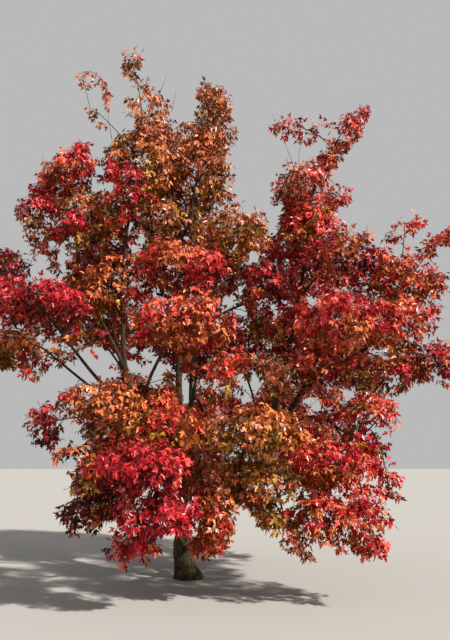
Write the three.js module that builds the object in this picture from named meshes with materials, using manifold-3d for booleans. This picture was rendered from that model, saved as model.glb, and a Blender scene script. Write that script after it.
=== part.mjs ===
// Amur maple in autumn leaf: a broad, seven metre tree that forks close above the ground.
// Each limb is a tapering solid, and each mass of foliage is one solid of twigs and leaves.
// Millimetres, +Z up, origin at the middle of the flat cut through the root flare at ground level.
import * as THREE from "three";
import { mergeVertices } from "three/addons/utils/BufferGeometryUtils.js";
import Module from "manifold-3d";

const wasm = await Module();
wasm.setup();

// The air left between two solids that meet.
const clearance = 0.3;

const trunk = {
  path: [[20, 0, -120], [0, 0, 0], [-45, 0, 190], [-70, 5, 370], [-70, 10, 540]],
  footRadius: 118,
  topRadius: 106,
  sides: 12,
  steps: 8,
};

// The foot widens into root spurs, and the top rounds over between the limbs.
const flare = { share: 0.62, height: 120, spurs: 5, spurDepth: 0.2 };
const crotch = { from: 0.82, endShare: 0.6 };

// A limb swells where it leaves its parent.
const collar = { share: 0.3, length: 130 };

// A limb leaves its parent at a share of the parent's length and runs through the given points.
const limbs = [
  { name: "main_stem", on: "trunk", share: 0.86, girth: [62, 17],
    through: [[-60, 0, 880], [-130, 0, 2000], [-135, 30, 2740], [-30, 120, 3900], [10, 200, 4850]] },
  { name: "right_limb", on: "trunk", share: 0.62, girth: [64, 20],
    through: [[330, -20, 620], [615, -30, 1010], [1300, -40, 2060], [1560, -80, 2440],
      [2050, -250, 2680]] },
  { name: "left_stem", on: "trunk", share: 0.8, girth: [54, 16],
    through: [[-260, 40, 1050], [-600, 60, 1850], [-830, 40, 2560], [-880, 40, 3600], [-840, 60, 4700]] },
  { name: "left_limb", on: "left_stem", share: 0.2, girth: [36, 13],
    through: [[-700, -130, 1900], [-1250, -320, 2550], [-1640, -480, 3060]] },
  { name: "low_left_limb", on: "left_limb", share: 0.36, girth: [24, 11],
    through: [[-1250, -180, 2330], [-1780, -320, 2760]] },
  { name: "dome_limb", on: "left_stem", share: 0.52, girth: [26, 12],
    through: [[-1180, 10, 3250], [-1450, -20, 3900], [-1560, -20, 4720]] },
  { name: "lean_limb", on: "left_stem", share: 0.3, girth: [30, 13],
    through: [[-540, -160, 2250], [-320, -420, 2720], [-90, -640, 3150]] },
  { name: "centre_limb", on: "main_stem", share: 0.12, girth: [34, 14],
    through: [[40, 90, 1450], [10, 130, 2340], [80, 110, 2950], [360, 20, 3750]] },
  { name: "right_leader_stem", on: "right_limb", share: 0.5, girth: [44, 15],
    through: [[1080, 90, 2050], [1330, 180, 3000], [1520, 220, 4000], [1600, 250, 4700]] },
  { name: "right_low_limb", on: "right_limb", share: 0.62, girth: [28, 11],
    through: [[1610, -270, 1930], [1880, -500, 1740]] },
  { name: "front_left_limb", on: "main_stem", share: 0.07, girth: [38, 14],
    through: [[-230, -480, 1100], [-380, -1000, 1450], [-430, -1350, 1600]] },
  { name: "front_right_limb", on: "right_limb", share: 0.12, girth: [40, 14],
    through: [[430, -420, 800], [720, -850, 1180], [900, -1250, 1480]] },
  { name: "back_left_limb", on: "left_stem", share: 0.12, girth: [40, 14],
    through: [[-420, 420, 1350], [-850, 850, 2100], [-1150, 1100, 3200]] },
  { name: "back_limb", on: "main_stem", share: 0.2, girth: [38, 14],
    through: [[-60, 480, 1750], [20, 1000, 2400], [100, 1350, 3400]] },
  { name: "back_right_limb", on: "right_limb", share: 0.24, girth: [42, 14],
    through: [[700, 380, 1500], [1150, 850, 2300], [1450, 1100, 3400]] },
];

// A mass of foliage fills one or more egg-shaped lobes: at is a lobe's middle, half its half sizes
// and lean the degrees that its long axis tips towards +X. Its stem leaves a limb at a share of it.
const masses = [
  { name: "top_leader_leaves", on: "left_stem", share: 1, tint: "copper",
    lobes: [{ at: [-590, 150, 6150], half: [360, 480, 440] },
      { at: [-850, 150, 6870], half: [210, 220, 250] }] },
  { name: "left_leader_leaves", on: "left_stem", share: 0.94, tint: "copper",
    lobes: [{ at: [-610, 200, 5370], half: [580, 750, 610] },
      { at: [-1280, 50, 6050], half: [140, 180, 370], lean: -38 }] },
  { name: "second_leader_leaves", on: "main_stem", share: 1, tint: "copper",
    lobes: [{ at: [180, 400, 5480], half: [420, 620, 610] },
      { at: [300, 350, 6320], half: [300, 380, 440] }] },
  { name: "leader_fork_leaves", on: "main_stem", share: 0.84, tint: "olive",
    lobes: [{ at: [-380, 500, 4600], half: [590, 690, 480] }] },
  { name: "middle_leaves", on: "centre_limb", share: 1, tint: "copper",
    lobes: [{ at: [580, -320, 4290], half: [490, 620, 380] }] },
  { name: "dome_top_leaves", on: "dome_limb", share: 1, tint: "crimson",
    lobes: [{ at: [-1600, 0, 5240], half: [450, 620, 340], lean: -32 }] },
  { name: "dome_low_leaves", on: "dome_limb", share: 0.82, tint: "rust",
    lobes: [{ at: [-1420, -250, 4440], half: [390, 560, 410] },
      { at: [-2010, 150, 4640], half: [350, 560, 430] },
      { at: [-1900, 100, 4030], half: [230, 380, 210] }] },
  { name: "dome_right_leaves", on: "left_stem", share: 0.88, tint: "wine",
    lobes: [{ at: [-860, -400, 4740], half: [390, 500, 510] }] },
  { name: "left_shelf_leaves", on: "left_limb", share: 1, tint: "crimson",
    lobes: [{ at: [-1830, -850, 3290], half: [710, 750, 290] },
      { at: [-2550, 400, 4010], half: [330, 560, 250] }] },
  { name: "left_under_leaves", on: "low_left_limb", share: 1, tint: "wine",
    lobes: [{ at: [-2100, -400, 2790], half: [520, 620, 280] }] },
  { name: "left_inner_leaves", on: "left_stem", share: 0.66, tint: "rust",
    lobes: [{ at: [-1250, 200, 3660], half: [480, 620, 570] }] },
  { name: "low_left_leaves", on: "left_limb", share: 0.3, tint: "crimson",
    lobes: [{ at: [-1570, -1000, 1820], half: [250, 300, 300] }] },
  { name: "centre_upper_leaves", on: "lean_limb", share: 1, tint: "crimson",
    lobes: [{ at: [-50, -1250, 3600], half: [600, 500, 370] }] },
  { name: "centre_lower_leaves", on: "lean_limb", share: 0.78, tint: "scarlet",
    lobes: [{ at: [0, -1480, 2920], half: [610, 500, 360] }] },
  { name: "right_tip_leaves", on: "right_leader_stem", share: 1, tint: "rose",
    lobes: [{ at: [2100, 300, 5870], half: [230, 250, 600], lean: 35 },
      { at: [1470, 350, 6010], half: [400, 250, 210] }] },
  { name: "right_leader_leaves", on: "right_leader_stem", share: 0.9, tint: "scarlet",
    lobes: [{ at: [1540, 250, 5040], half: [470, 560, 500] },
      { at: [1590, 100, 4350], half: [510, 620, 350] },
      { at: [2150, 250, 4900], half: [200, 220, 170] }] },
  { name: "right_shoulder_leaves", on: "right_leader_stem", share: 0.62, tint: "crimson",
    lobes: [{ at: [1920, -650, 3850], half: [530, 620, 370] }] },
  { name: "right_outer_upper_leaves", on: "right_limb", share: 1, tint: "scarlet",
    lobes: [{ at: [2610, -400, 3580], half: [550, 690, 400] },
      { at: [2750, -300, 4340], half: [150, 220, 350], lean: 62 },
      { at: [3190, -200, 4180], half: [150, 220, 390], lean: 58 }] },
  { name: "right_outer_leaves", on: "right_limb", share: 0.95, tint: "scarlet",
    lobes: [{ at: [2360, -1100, 2980], half: [540, 550, 340] }] },
  { name: "right_edge_leaves", on: "right_limb", share: 0.89, tint: "crimson",
    lobes: [{ at: [2940, -900, 2540], half: [300, 500, 300] }] },
  { name: "right_middle_leaves", on: "right_limb", share: 0.74, tint: "scarlet",
    lobes: [{ at: [1640, -1480, 2950], half: [520, 500, 370] }] },
  { name: "right_inner_leaves", on: "centre_limb", share: 0.75, tint: "wine",
    lobes: [{ at: [1060, -100, 3460], half: [460, 620, 570] }] },
  { name: "right_under_leaves", on: "right_limb", share: 0.82, tint: "rust",
    lobes: [{ at: [2290, -500, 2470], half: [530, 620, 290] },
      { at: [1560, -300, 2520], half: [380, 410, 230] }] },
  { name: "centre_right_leaves", on: "right_limb", share: 0.42, tint: "rust",
    lobes: [{ at: [670, -1100, 2330], half: [600, 500, 370] }] },
  { name: "front_orange_leaves", on: "front_right_limb", share: 1, tint: "amber",
    lobes: [{ at: [770, -1600, 1770], half: [540, 500, 310] }] },
  { name: "right_droop_leaves", on: "right_low_limb", share: 1, tint: "rust",
    lobes: [{ at: [2080, -900, 1840], half: [350, 500, 430] },
      { at: [2180, -1300, 1210], half: [200, 220, 200] }] },
  { name: "right_lower_leaves", on: "front_right_limb", share: 0.86, tint: "crimson",
    lobes: [{ at: [1620, -1400, 1420], half: [510, 500, 280] },
      { at: [1440, -1600, 870], half: [330, 350, 300] }] },
  { name: "right_lowest_leaves", on: "right_low_limb", share: 0.8, tint: "crimson",
    lobes: [{ at: [1920, -1500, 770], half: [310, 400, 330] }] },
  { name: "front_olive_leaves", on: "front_right_limb", share: 0.74, tint: "olive",
    lobes: [{ at: [950, -1300, 1230], half: [470, 450, 300] },
      { at: [1080, -1450, 720], half: [410, 280, 190], lean: 35 }] },
  { name: "front_droop_leaves", on: "front_right_limb", share: 0.3, tint: "rust",
    lobes: [{ at: [150, -350, 1360], half: [330, 410, 420] },
      { at: [350, -1500, 900], half: [230, 300, 460] }] },
  { name: "left_orange_leaves", on: "front_left_limb", share: 1, tint: "amber",
    lobes: [{ at: [-780, -1300, 2060], half: [610, 500, 280] },
      { at: [-200, -1600, 1810], half: [480, 400, 290] },
      { at: [-330, -1000, 2290], half: [300, 300, 250] }] },
  { name: "left_crimson_leaves", on: "front_left_limb", share: 0.88, tint: "crimson",
    lobes: [{ at: [-380, -2000, 1410], half: [530, 450, 250] }] },
  { name: "left_crimson_low_leaves", on: "front_left_limb", share: 0.7, tint: "crimson",
    lobes: [{ at: [-180, -2000, 980], half: [440, 450, 270] },
      { at: [-600, -1800, 600], half: [160, 200, 140] },
      { at: [-330, -1900, 640], half: [200, 220, 180] }] },
  { name: "left_dark_leaves", on: "front_left_limb", share: 0.52, tint: "wine",
    lobes: [{ at: [-950, -1600, 1040], half: [350, 400, 370] },
      { at: [-1120, -1500, 1480], half: [260, 300, 200] }] },
  { name: "back_top_leaves", on: "main_stem", share: 0.93, tint: "rust",
    lobes: [{ at: [-250, 1050, 5250], half: [560, 580, 560] }] },
  { name: "back_left_high_leaves", on: "back_left_limb", share: 1, tint: "crimson",
    lobes: [{ at: [-1300, 1150, 4500], half: [710, 670, 670] }] },
  { name: "back_left_leaves", on: "back_left_limb", share: 0.8, tint: "scarlet",
    lobes: [{ at: [-1800, 1150, 3500], half: [680, 720, 480] },
      { at: [-950, 1750, 3350], half: [520, 540, 540] }] },
  { name: "back_left_low_leaves", on: "back_left_limb", share: 0.5, tint: "rust",
    lobes: [{ at: [-1000, 1500, 1850], half: [710, 720, 580] },
      { at: [-1150, 1000, 1150], half: [510, 540, 420] }] },
  { name: "back_high_leaves", on: "back_limb", share: 1, tint: "amber",
    lobes: [{ at: [350, 1350, 4350], half: [710, 670, 580] }] },
  { name: "back_leaves", on: "back_limb", share: 0.8, tint: "crimson",
    lobes: [{ at: [150, 1880, 3150], half: [780, 670, 620] }] },
  { name: "back_low_leaves", on: "back_limb", share: 0.5, tint: "scarlet",
    lobes: [{ at: [150, 1880, 1950], half: [740, 670, 500] },
      { at: [150, 1700, 1150], half: [590, 600, 420] }] },
  { name: "back_right_high_leaves", on: "back_right_limb", share: 1, tint: "crimson",
    lobes: [{ at: [1400, 1250, 4300], half: [680, 670, 620] }] },
  { name: "back_right_leaves", on: "back_right_limb", share: 0.8, tint: "scarlet",
    lobes: [{ at: [2050, 1150, 3250], half: [710, 740, 580] },
      { at: [1250, 1800, 3250], half: [510, 540, 500] }] },
  { name: "back_right_low_leaves", on: "back_right_limb", share: 0.5, tint: "rust",
    lobes: [{ at: [1500, 1500, 2000], half: [740, 720, 540] },
      { at: [1550, 900, 1350], half: [550, 580, 420] }] },
];

const tints = {
  crimson: 0xc01734, scarlet: 0xcb2f2c, rose: 0xc2475a, wine: 0x6d1530,
  rust: 0xb04a22, copper: 0xb0612a, amber: 0xd07a2b, olive: 0x6e5a22,
};

// Sky shows through the crown along these lines, to that radius round them: leaves keep off them.
const clearings = [
  { from: [-700, -2200, 2440], to: [-1480, 2500, 3020], radius: 150 },
  { from: [-200, -2200, 2330], to: [-640, 2500, 2840], radius: 110 },
  { from: [80, -2200, 2050], to: [-180, 2500, 2370], radius: 85 },
  { from: [-1280, -2200, 2140], to: [-2460, 2500, 2510], radius: 130 },
  { from: [1320, -2200, 1980], to: [1910, 2500, 2240], radius: 120 },
  { from: [1470, -2200, 1940], to: [2170, 2500, 2170], radius: 85 },
  { from: [600, -2200, 2910], to: [700, 2500, 3800], radius: 65 },
  { from: [1060, -2200, 3400], to: [1470, 2500, 4620], radius: 65 },
  { from: [-860, -2200, 4230], to: [-1760, 2500, 6030], radius: 85 },
  { from: [-380, -2200, 3590], to: [-950, 2500, 4950], radius: 80 },
  { from: [750, -2200, 3420], to: [950, 2500, 4660], radius: 70 },
  { from: [1310, -2200, 3020], to: [1900, 2500, 3990], radius: 60 },
  { from: [950, -2200, 3710], to: [1300, 2500, 5140], radius: 80 },
  { from: [580, -2200, 4440], to: [680, 2500, 6380], radius: 100 },
];

// A stem in a mass is that much thicker at its root than its limb, up to the largest radius, and thins
// to its tip's. It sets off along its limb for a share of its way, and turns towards its lobe by turn
// to 1. Where it would touch something it bows aside, by the first of these shares that clears it.
// The stems of further lobes leave the first one's at the branch share.
const stem = {
  swell: 1.3, most: 22, tip: 14, steps: 3, along: 0.4, turn: 1.5, branch: 0.7,
  bows: [0, 0.12, -0.12, 0.24, -0.24, 0.36, -0.36],
};

// Each twig ends in a leaf. Its root is a share of the stem's radius, so that it sits inside the stem,
// at a place in its lobe above the given depth, and lies back from its goal by a share of the way there.
const twig = { rootShare: 0.45, most: 7, tip: 5.5, rootDepth: 0.9, forward: 0.7, samples: 24 };

// A leaf here stands for a spray of real ones, so it is larger than life. It shrinks to fit its place,
// from the length or that share of its twig's way, whichever is less, down to the least length.
const leaf = {
  length: 640, wayShare: 0.95, aspect: 1.15, thickness: 17, thickest: 0.3, least: 180, shrink: 0.9,
};

// A leaf bends down and to one side of the way from the stem to its tip. Its upper face looks up and
// forward, rolled to that side by an angle between the two.
const hang = { down: 0.25, aside: 0.2, forward: 0.5, leastRoll: 0.6, mostRoll: 1.4 };

// Leaf tips aim for this depth of a lobe, and no corner lies beyond the limit, where 1 is its outside.
const reach = { stem: 0.35, goal: 0.95, limit: 1.15 };

// One leaf for each such length of a lobe's mean half size, within the limits.
const density = { length: 65, least: 4, most: 11 };

// Each mass has a sequence of random numbers of its own.
const seeds = { first: 11, step: 97 };

const vector = (point) => new THREE.Vector3(...point);

const upward = new THREE.Vector3(0, 0, 1);

const radiusBetween = (root, tip) => (share) => THREE.MathUtils.lerp(root, tip, share);

// The same sequence of numbers from 0 to 1 for the same seed.
function seeded(seed) {
  const modulus = 2 ** 32;
  let state = seed;
  return () => {
    state = (state * 1664525 + 1013904223) % modulus;
    return state / modulus;
  };
}

function solidFrom(geometry) {
  const bare = geometry.clone();
  bare.deleteAttribute("normal");
  bare.deleteAttribute("uv");
  const merged = mergeVertices(bare, 1e-3);
  return new wasm.Manifold(new wasm.Mesh({
    numProp: 3,
    vertProperties: new Float32Array(merged.attributes.position.array),
    triVerts: new Uint32Array(merged.index.array),
  }));
}

function geometryFrom(solid) {
  const mesh = solid.getMesh();
  const geometry = new THREE.BufferGeometry();
  geometry.setAttribute("position", new THREE.BufferAttribute(new Float32Array(mesh.vertProperties), 3));
  geometry.setIndex(new THREE.BufferAttribute(new Uint32Array(mesh.triVerts), 1));
  const flat = geometry.toNonIndexed();
  flat.computeVertexNormals();
  return flat;
}

const largestPiece = (solid) =>
  solid.decompose().reduce((best, piece) => (piece.volume() > best.volume() ? piece : best));

// The same curve as straight runs between evenly spaced points, which is how a tube follows it.
function straightened(curve, steps) {
  const points = curve.getSpacedPoints(steps);
  const pointAt = (share) => {
    const run = Math.min(Math.floor(share * steps), steps - 1);
    return points[run].clone().lerp(points[run + 1], share * steps - run);
  };
  return { length: curve.getLength(), pointAt, wayAt: (share) => curve.getTangentAt(share) };
}

// A cylinder of unit radius bent along a curve. Its radius follows the share of length and the angle,
// and with a margin it is that much larger all round, its far end too.
function tube(curve, radiusAt, sides, steps, margin = 0) {
  const geometry = new THREE.CylinderGeometry(1, 1, 1, sides, steps);
  const frames = curve.computeFrenetFrames(steps);
  const position = geometry.attributes.position;
  const centres = curve.getSpacedPoints(steps);
  centres[steps].addScaledVector(frames.tangents[steps], margin);
  const spoke = new THREE.Vector3();
  for (let i = 0; i < position.count; i++) {
    const share = 0.5 - position.getY(i);
    const ring = Math.round(share * steps);
    const [x, z] = [position.getX(i), position.getZ(i)];
    spoke.copy(frames.normals[ring]).multiplyScalar(x).addScaledVector(frames.binormals[ring], z);
    spoke.multiplyScalar(radiusAt(share, Math.atan2(z, x)) + margin).add(centres[ring]);
    position.setXYZ(i, spoke.x, spoke.y, spoke.z);
  }
  return solidFrom(geometry);
}

// Everything below the ground plane, which the flat cut takes away.
function ground() {
  const size = 4000;
  const box = new THREE.BoxGeometry(size, size, size);
  box.translate(0, 0, -size / 2);
  return solidFrom(box);
}

function growTrunk() {
  const curve = new THREE.CatmullRomCurve3(trunk.path.map(vector));
  const straight = radiusBetween(trunk.footRadius, trunk.topRadius);
  const radiusAt = (share, angle) => {
    const height = Math.max(curve.getPointAt(share).z, 0);
    const spread = flare.share * Math.exp(-height / flare.height);
    const spurs = 1 + flare.spurDepth * Math.cos(flare.spurs * angle);
    const over = THREE.MathUtils.clamp((share - crotch.from) / (1 - crotch.from), 0, 1);
    const rounded = THREE.MathUtils.lerp(1, crotch.endShare, over * over);
    return straight(share) * rounded * (1 + spread * spurs);
  };
  const made = (margin) => tube(curve, radiusAt, trunk.sides, trunk.steps, margin);
  const solid = made(0).subtract(ground());
  return { line: straightened(curve, trunk.steps), radiusAt: straight, solid, cutter: made(clearance) };
}

const limbSides = (radius) => (radius > 50 ? 8 : 6);

// A limb starts on its parent's middle line, and all but the part that stands clear is cut away.
function growLimb(row, parent) {
  const root = parent.line.pointAt(row.share);
  const curve = new THREE.CatmullRomCurve3([root, ...row.through.map(vector)], false, "centripetal");
  const straight = radiusBetween(...row.girth);
  const length = curve.getLength();
  const swelling = (share) => 1 + collar.share * Math.exp((-share * length) / collar.length);
  const radiusAt = (share) => straight(share) * swelling(share);
  const steps = 2 * row.through.length;
  const made = (margin) => tube(curve, radiusAt, limbSides(row.girth[0]), steps, margin);
  const line = straightened(curve, steps);
  return { line, radiusAt: straight, solid: made(0), cutter: made(clearance) };
}

const boxesMeet = (a, b) => {
  const [p, q] = [a.boundingBox(), b.boundingBox()];
  return [0, 1, 2].every((axis) => p.min[axis] <= q.max[axis] && q.min[axis] <= p.max[axis]);
};

const touches = (solid, others) =>
  others.some((other) => boxesMeet(solid, other) && solid.intersect(other).volume() > 0);

function growLimbs() {
  const grown = new Map([["trunk", growTrunk()]]);
  for (const row of limbs) {
    const limb = growLimb(row, grown.get(row.on));
    for (const other of grown.values()) {
      if (boxesMeet(limb.solid, other.cutter)) limb.solid = limb.solid.subtract(other.cutter);
    }
    limb.solid = largestPiece(limb.solid);
    grown.set(row.name, limb);
  }
  return grown;
}

const leanOf = (lobe) => THREE.MathUtils.degToRad(lobe.lean ?? 0);
const leanAxis = new THREE.Vector3(0, 1, 0);

// How far out in a lobe a point lies: 0 in the middle and 1 on the outside.
function depthIn(lobe, point) {
  const from = point.clone().sub(vector(lobe.at)).applyAxisAngle(leanAxis, -leanOf(lobe));
  return from.divide(vector(lobe.half)).length();
}

// The point at that depth in a lobe, in a direction given in the lobe's own frame, where it is a ball.
function pointIn(lobe, direction, depth) {
  const out = direction.clone().multiply(vector(lobe.half)).multiplyScalar(depth);
  return out.applyAxisAngle(leanAxis, leanOf(lobe)).add(vector(lobe.at));
}

const depthInMass = (mass, point) => Math.min(...mass.lobes.map((lobe) => depthIn(lobe, point)));

const inClearing = (point) =>
  clearings.some(({ from, to, radius }) => {
    const nearest = new THREE.Vector3();
    new THREE.Line3(vector(from), vector(to)).closestPointToPoint(point, true, nearest);
    return nearest.distanceTo(point) < radius;
  });

// A point belongs to a mass that it lies in, and lies deeper in than in any other.
function belongs(mass, point) {
  const depth = depthInMass(mass, point);
  if (depth > reach.limit || inClearing(point)) return false;
  return masses.every((other) => other === mass || depthInMass(other, point) > depth);
}

// Directions spread evenly over a ball, one golden turn apart.
function evenDirection(index, count, phase) {
  const goldenTurn = Math.PI * (3 - Math.sqrt(5));
  const height = 1 - (2 * (index + 0.5)) / count;
  const around = Math.sqrt(1 - height * height);
  const angle = index * goldenTurn + phase;
  return new THREE.Vector3(around * Math.cos(angle), around * Math.sin(angle), height);
}

// The point at that depth in a lobe, straight on from a place through the lobe's middle.
function beyond(lobe, place, depth) {
  const middle = vector(lobe.at);
  const onward = middle.clone().sub(place).normalize();
  return middle.addScaledVector(onward, depth / depthIn(lobe, middle.clone().add(onward)));
}

// A stem sets off along its limb's way, bows to one side by the given share of its reach, and ends
// beyond the middle of its lobe.
function stemCurve(lobe, start, way, bow) {
  const end = beyond(lobe, start, reach.stem);
  const distance = start.distanceTo(end);
  const sideways = end.clone().sub(start).cross(upward).normalize();
  const bend = start.clone().addScaledVector(way, stem.along * distance);
  bend.addScaledVector(sideways, bow * distance);
  return new THREE.QuadraticBezierCurve3(start, bend, end);
}

// Where the stem of one of a mass's lobes starts, and its way there. The first lobe's stem goes on from
// the limb's tip or leaves its side, and each other lobe's leaves the first stem.
function stemStart(mass, lobe, limbLine, firstLine) {
  const onTip = !firstLine && mass.share === 1;
  const line = firstLine ?? limbLine;
  const share = firstLine ? stem.branch : mass.share;
  const start = line.pointAt(share);
  const way = line.wayAt(share);
  if (onTip) start.addScaledVector(way, clearance);
  else way.addScaledVector(vector(lobe.at).sub(start).normalize(), stem.turn).normalize();
  return { start, way };
}

// Each stem takes the first bow that touches nothing, or the last one.
function growStems(mass, grown, obstacles) {
  const limb = grown.get(mass.on);
  const rootRadius = Math.min(stem.swell * limb.radiusAt(mass.share), stem.most);
  const lines = [];
  const solids = [];
  for (const lobe of mass.lobes) {
    const { start, way } = stemStart(mass, lobe, limb.line, lines[0]);
    const fromSide = lines.length === 0 && mass.share < 1;
    const radiusAt = radiusBetween(lines.length === 0 ? rootRadius : stem.tip, stem.tip);
    const bowed = (bow) => {
      const curve = stemCurve(lobe, start, way, bow);
      const whole = tube(curve, radiusAt, 3, stem.steps);
      return { curve, solid: fromSide ? whole.subtract(limb.cutter) : whole };
    };
    const clear = stem.bows.find((bow) => !touches(bowed(bow).solid, obstacles));
    const made = bowed(clear ?? stem.bows.at(-1));
    lines.push({ ...straightened(made.curve, stem.steps), radiusAt });
    solids.push(largestPiece(made.solid));
  }
  return { lines, solid: solids.reduce((all, next) => all.add(next)) };
}

// The share of a stem where a twig leaves it: inside the lobe, and before the place nearest to the
// twig's goal, so that the twig points forward.
function twigShare(lobe, line, goal) {
  const shares = Array.from({ length: twig.samples + 1 }, (_, i) => i / twig.samples);
  const inside = shares.filter((share) => depthIn(lobe, line.pointAt(share)) < twig.rootDepth);
  const distance = (share) => line.pointAt(share).distanceTo(goal);
  const nearest = inside.reduce((best, share) => (distance(share) < distance(best) ? share : best));
  return Math.max(nearest - (twig.forward * distance(nearest)) / line.length, inside[0]);
}

// Half of a leaf's outline after its base, as shares of its width and length: a side lobe and the notch
// between that and the middle one. The other half mirrors it.
const leafEdge = [[0.5, 0.38], [0.23, 0.52]];

// A three-sided twig from its root to the leaf's base, which widens into a flat leaf with three pointed
// lobes. Each ring holds a right, a left and an upper corner.
function leafyTwig(root, rootRadius, base, tip, facing) {
  const onward = base.clone().sub(root).normalize();
  const direction = tip.clone().sub(base).normalize();
  const length = tip.distanceTo(base);
  const across = direction.clone().cross(facing).normalize();
  const above = across.clone().cross(direction);
  const ring = (middle, way, radius) => {
    const right = across.clone().projectOnPlane(way).normalize().multiplyScalar(radius);
    const over = right.clone().cross(way);
    const low = middle.clone().addScaledVector(over, -0.5);
    return [low.clone().add(right), low.clone().sub(right), middle.clone().add(over)];
  };
  const place = (side, along, raised = 0) =>
    base.clone().addScaledVector(across, side * leaf.aspect * length)
      .addScaledVector(direction, along * length).addScaledVector(above, raised);
  const rightEdge = leafEdge.map(([side, along]) => place(side, along));
  const leftEdge = leafEdge.map(([side, along]) => place(-side, along)).reverse();
  const edge = [...rightEdge, tip, ...leftEdge];
  const half = leaf.thickness / 2;
  const points = [
    ...ring(root, onward, rootRadius),
    ...ring(base, onward.clone().add(direction).normalize(), twig.tip),
    ...edge, place(0, leaf.thickest, half), place(0, leaf.thickest, -half),
  ];
  const [rootRing, baseRing] = [[0, 2, 1], [3, 5, 4]];
  const edgeRing = edge.map((_, i) => 6 + i);
  const [top, bottom] = [points.length - 2, points.length - 1];
  const faces = [...rootRing];
  rootRing.forEach((corner, i) => {
    const next = (i + 1) % 3;
    faces.push(corner, baseRing[i], baseRing[next], corner, baseRing[next], rootRing[next]);
  });
  const fan = (loop, middle) =>
    loop.flatMap((corner, i) => [corner, loop[(i + 1) % loop.length], middle]);
  faces.push(...fan([3, ...edgeRing, 4, 5], top), ...fan([4, ...edgeRing.reverse(), 3], bottom));
  const geometry = new THREE.BufferGeometry().setFromPoints(points);
  geometry.setIndex(faces);
  return { solid: solidFrom(geometry), corners: [base, ...edge] };
}

// A twig with its leaf, which shrinks until it keeps to its mass and touches nothing.
// Where it would get too small, or the twig is in the way, there is none.
function growTwig({ mass, lobe, line, goal, hand, roll }, obstacles) {
  const share = twigShare(lobe, line, goal);
  const root = line.pointAt(share);
  const distance = root.distanceTo(goal);
  const direct = goal.clone().sub(root).normalize();
  const aside = direct.clone().cross(upward).normalize().multiplyScalar(hand * hang.aside);
  const direction = direct.clone().addScaledVector(upward, -hang.down).add(aside).normalize();
  const facing = upward.clone().addScaledVector(direct, hang.forward);
  facing.applyAxisAngle(direction, hand * roll);
  const rootRadius = Math.min(twig.rootShare * line.radiusAt(share), twig.most);
  const longest = Math.min(leaf.length, leaf.wayShare * distance);
  for (let length = longest; length >= leaf.least; length *= leaf.shrink) {
    const base = goal.clone().addScaledVector(direction, -length);
    const made = leafyTwig(root, rootRadius, base, goal, facing);
    const keepsIn = made.corners.every((corner) => belongs(mass, corner));
    if (keepsIn && !touches(made.solid, obstacles)) return made.solid;
  }
  return null;
}

const leavesIn = (lobe) => {
  const size = Math.cbrt(lobe.half[0] * lobe.half[1] * lobe.half[2]);
  return Math.round(THREE.MathUtils.clamp(size / density.length, density.least, density.most));
};

// The first twig of a lobe goes straight on to its far side, and the rest spread evenly round it.
function growMass(mass, stems, obstacles, seed) {
  const random = seeded(seed);
  const twigs = [];
  mass.lobes.forEach((lobe, index) => {
    const line = stems.lines[index];
    const count = leavesIn(lobe);
    const phase = random() * 2 * Math.PI;
    const goals = [beyond(lobe, line.pointAt(0), reach.goal)];
    for (let i = 0; i < count; i++) {
      goals.push(pointIn(lobe, evenDirection(i, count, phase), reach.goal));
    }
    goals.forEach((goal, i) => {
      const roll = THREE.MathUtils.lerp(hang.leastRoll, hang.mostRoll, random());
      const hand = i % 2 === 0 ? 1 : -1;
      const made = growTwig({ mass, lobe, line, goal, hand, roll }, [...obstacles, ...twigs]);
      if (made) twigs.push(made);
    });
  });
  return largestPiece(twigs.reduce((all, made) => all.add(made), stems.solid));
}

function bark() {
  return new THREE.MeshStandardMaterial({ color: 0x6a6152, roughness: 0.9, metalness: 0 });
}

function foliage(tint) {
  return new THREE.MeshStandardMaterial({ color: tints[tint], roughness: 0.6, metalness: 0 });
}

function named(name, solid, material) {
  const mesh = new THREE.Mesh(geometryFrom(solid), material);
  mesh.name = name;
  return mesh;
}

const tree = new THREE.Group();
const grown = growLimbs();
for (const [name, limb] of grown) tree.add(named(name, limb.solid, bark()));

const stems = [];
for (const mass of masses) {
  const others = [...grown].filter(([name]) => name !== mass.on).map(([, limb]) => limb.cutter);
  stems.push(growStems(mass, grown, [...others, ...stems.map((grownStem) => grownStem.solid)]));
}

const limbCutters = [...grown.values()].map((limb) => limb.cutter);
const finished = [];
masses.forEach((mass, index) => {
  const otherStems = stems.filter((_, other) => other !== index).map((grownStem) => grownStem.solid);
  const obstacles = [...limbCutters, ...otherStems, ...finished];
  const solid = growMass(mass, stems[index], obstacles, seeds.first + seeds.step * index);
  finished.push(solid);
  tree.add(named(mass.name, solid, foliage(mass.tint)));
});

export default tree;
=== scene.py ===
# Amur maple in autumn leaf: bark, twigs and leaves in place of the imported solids.
# Metres, +Z up. The limbs and masses are the solids' own, and finer twigs grow on by the same rule.
import math
import bmesh
import bpy
import numpy as np
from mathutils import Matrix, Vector, noise


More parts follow.
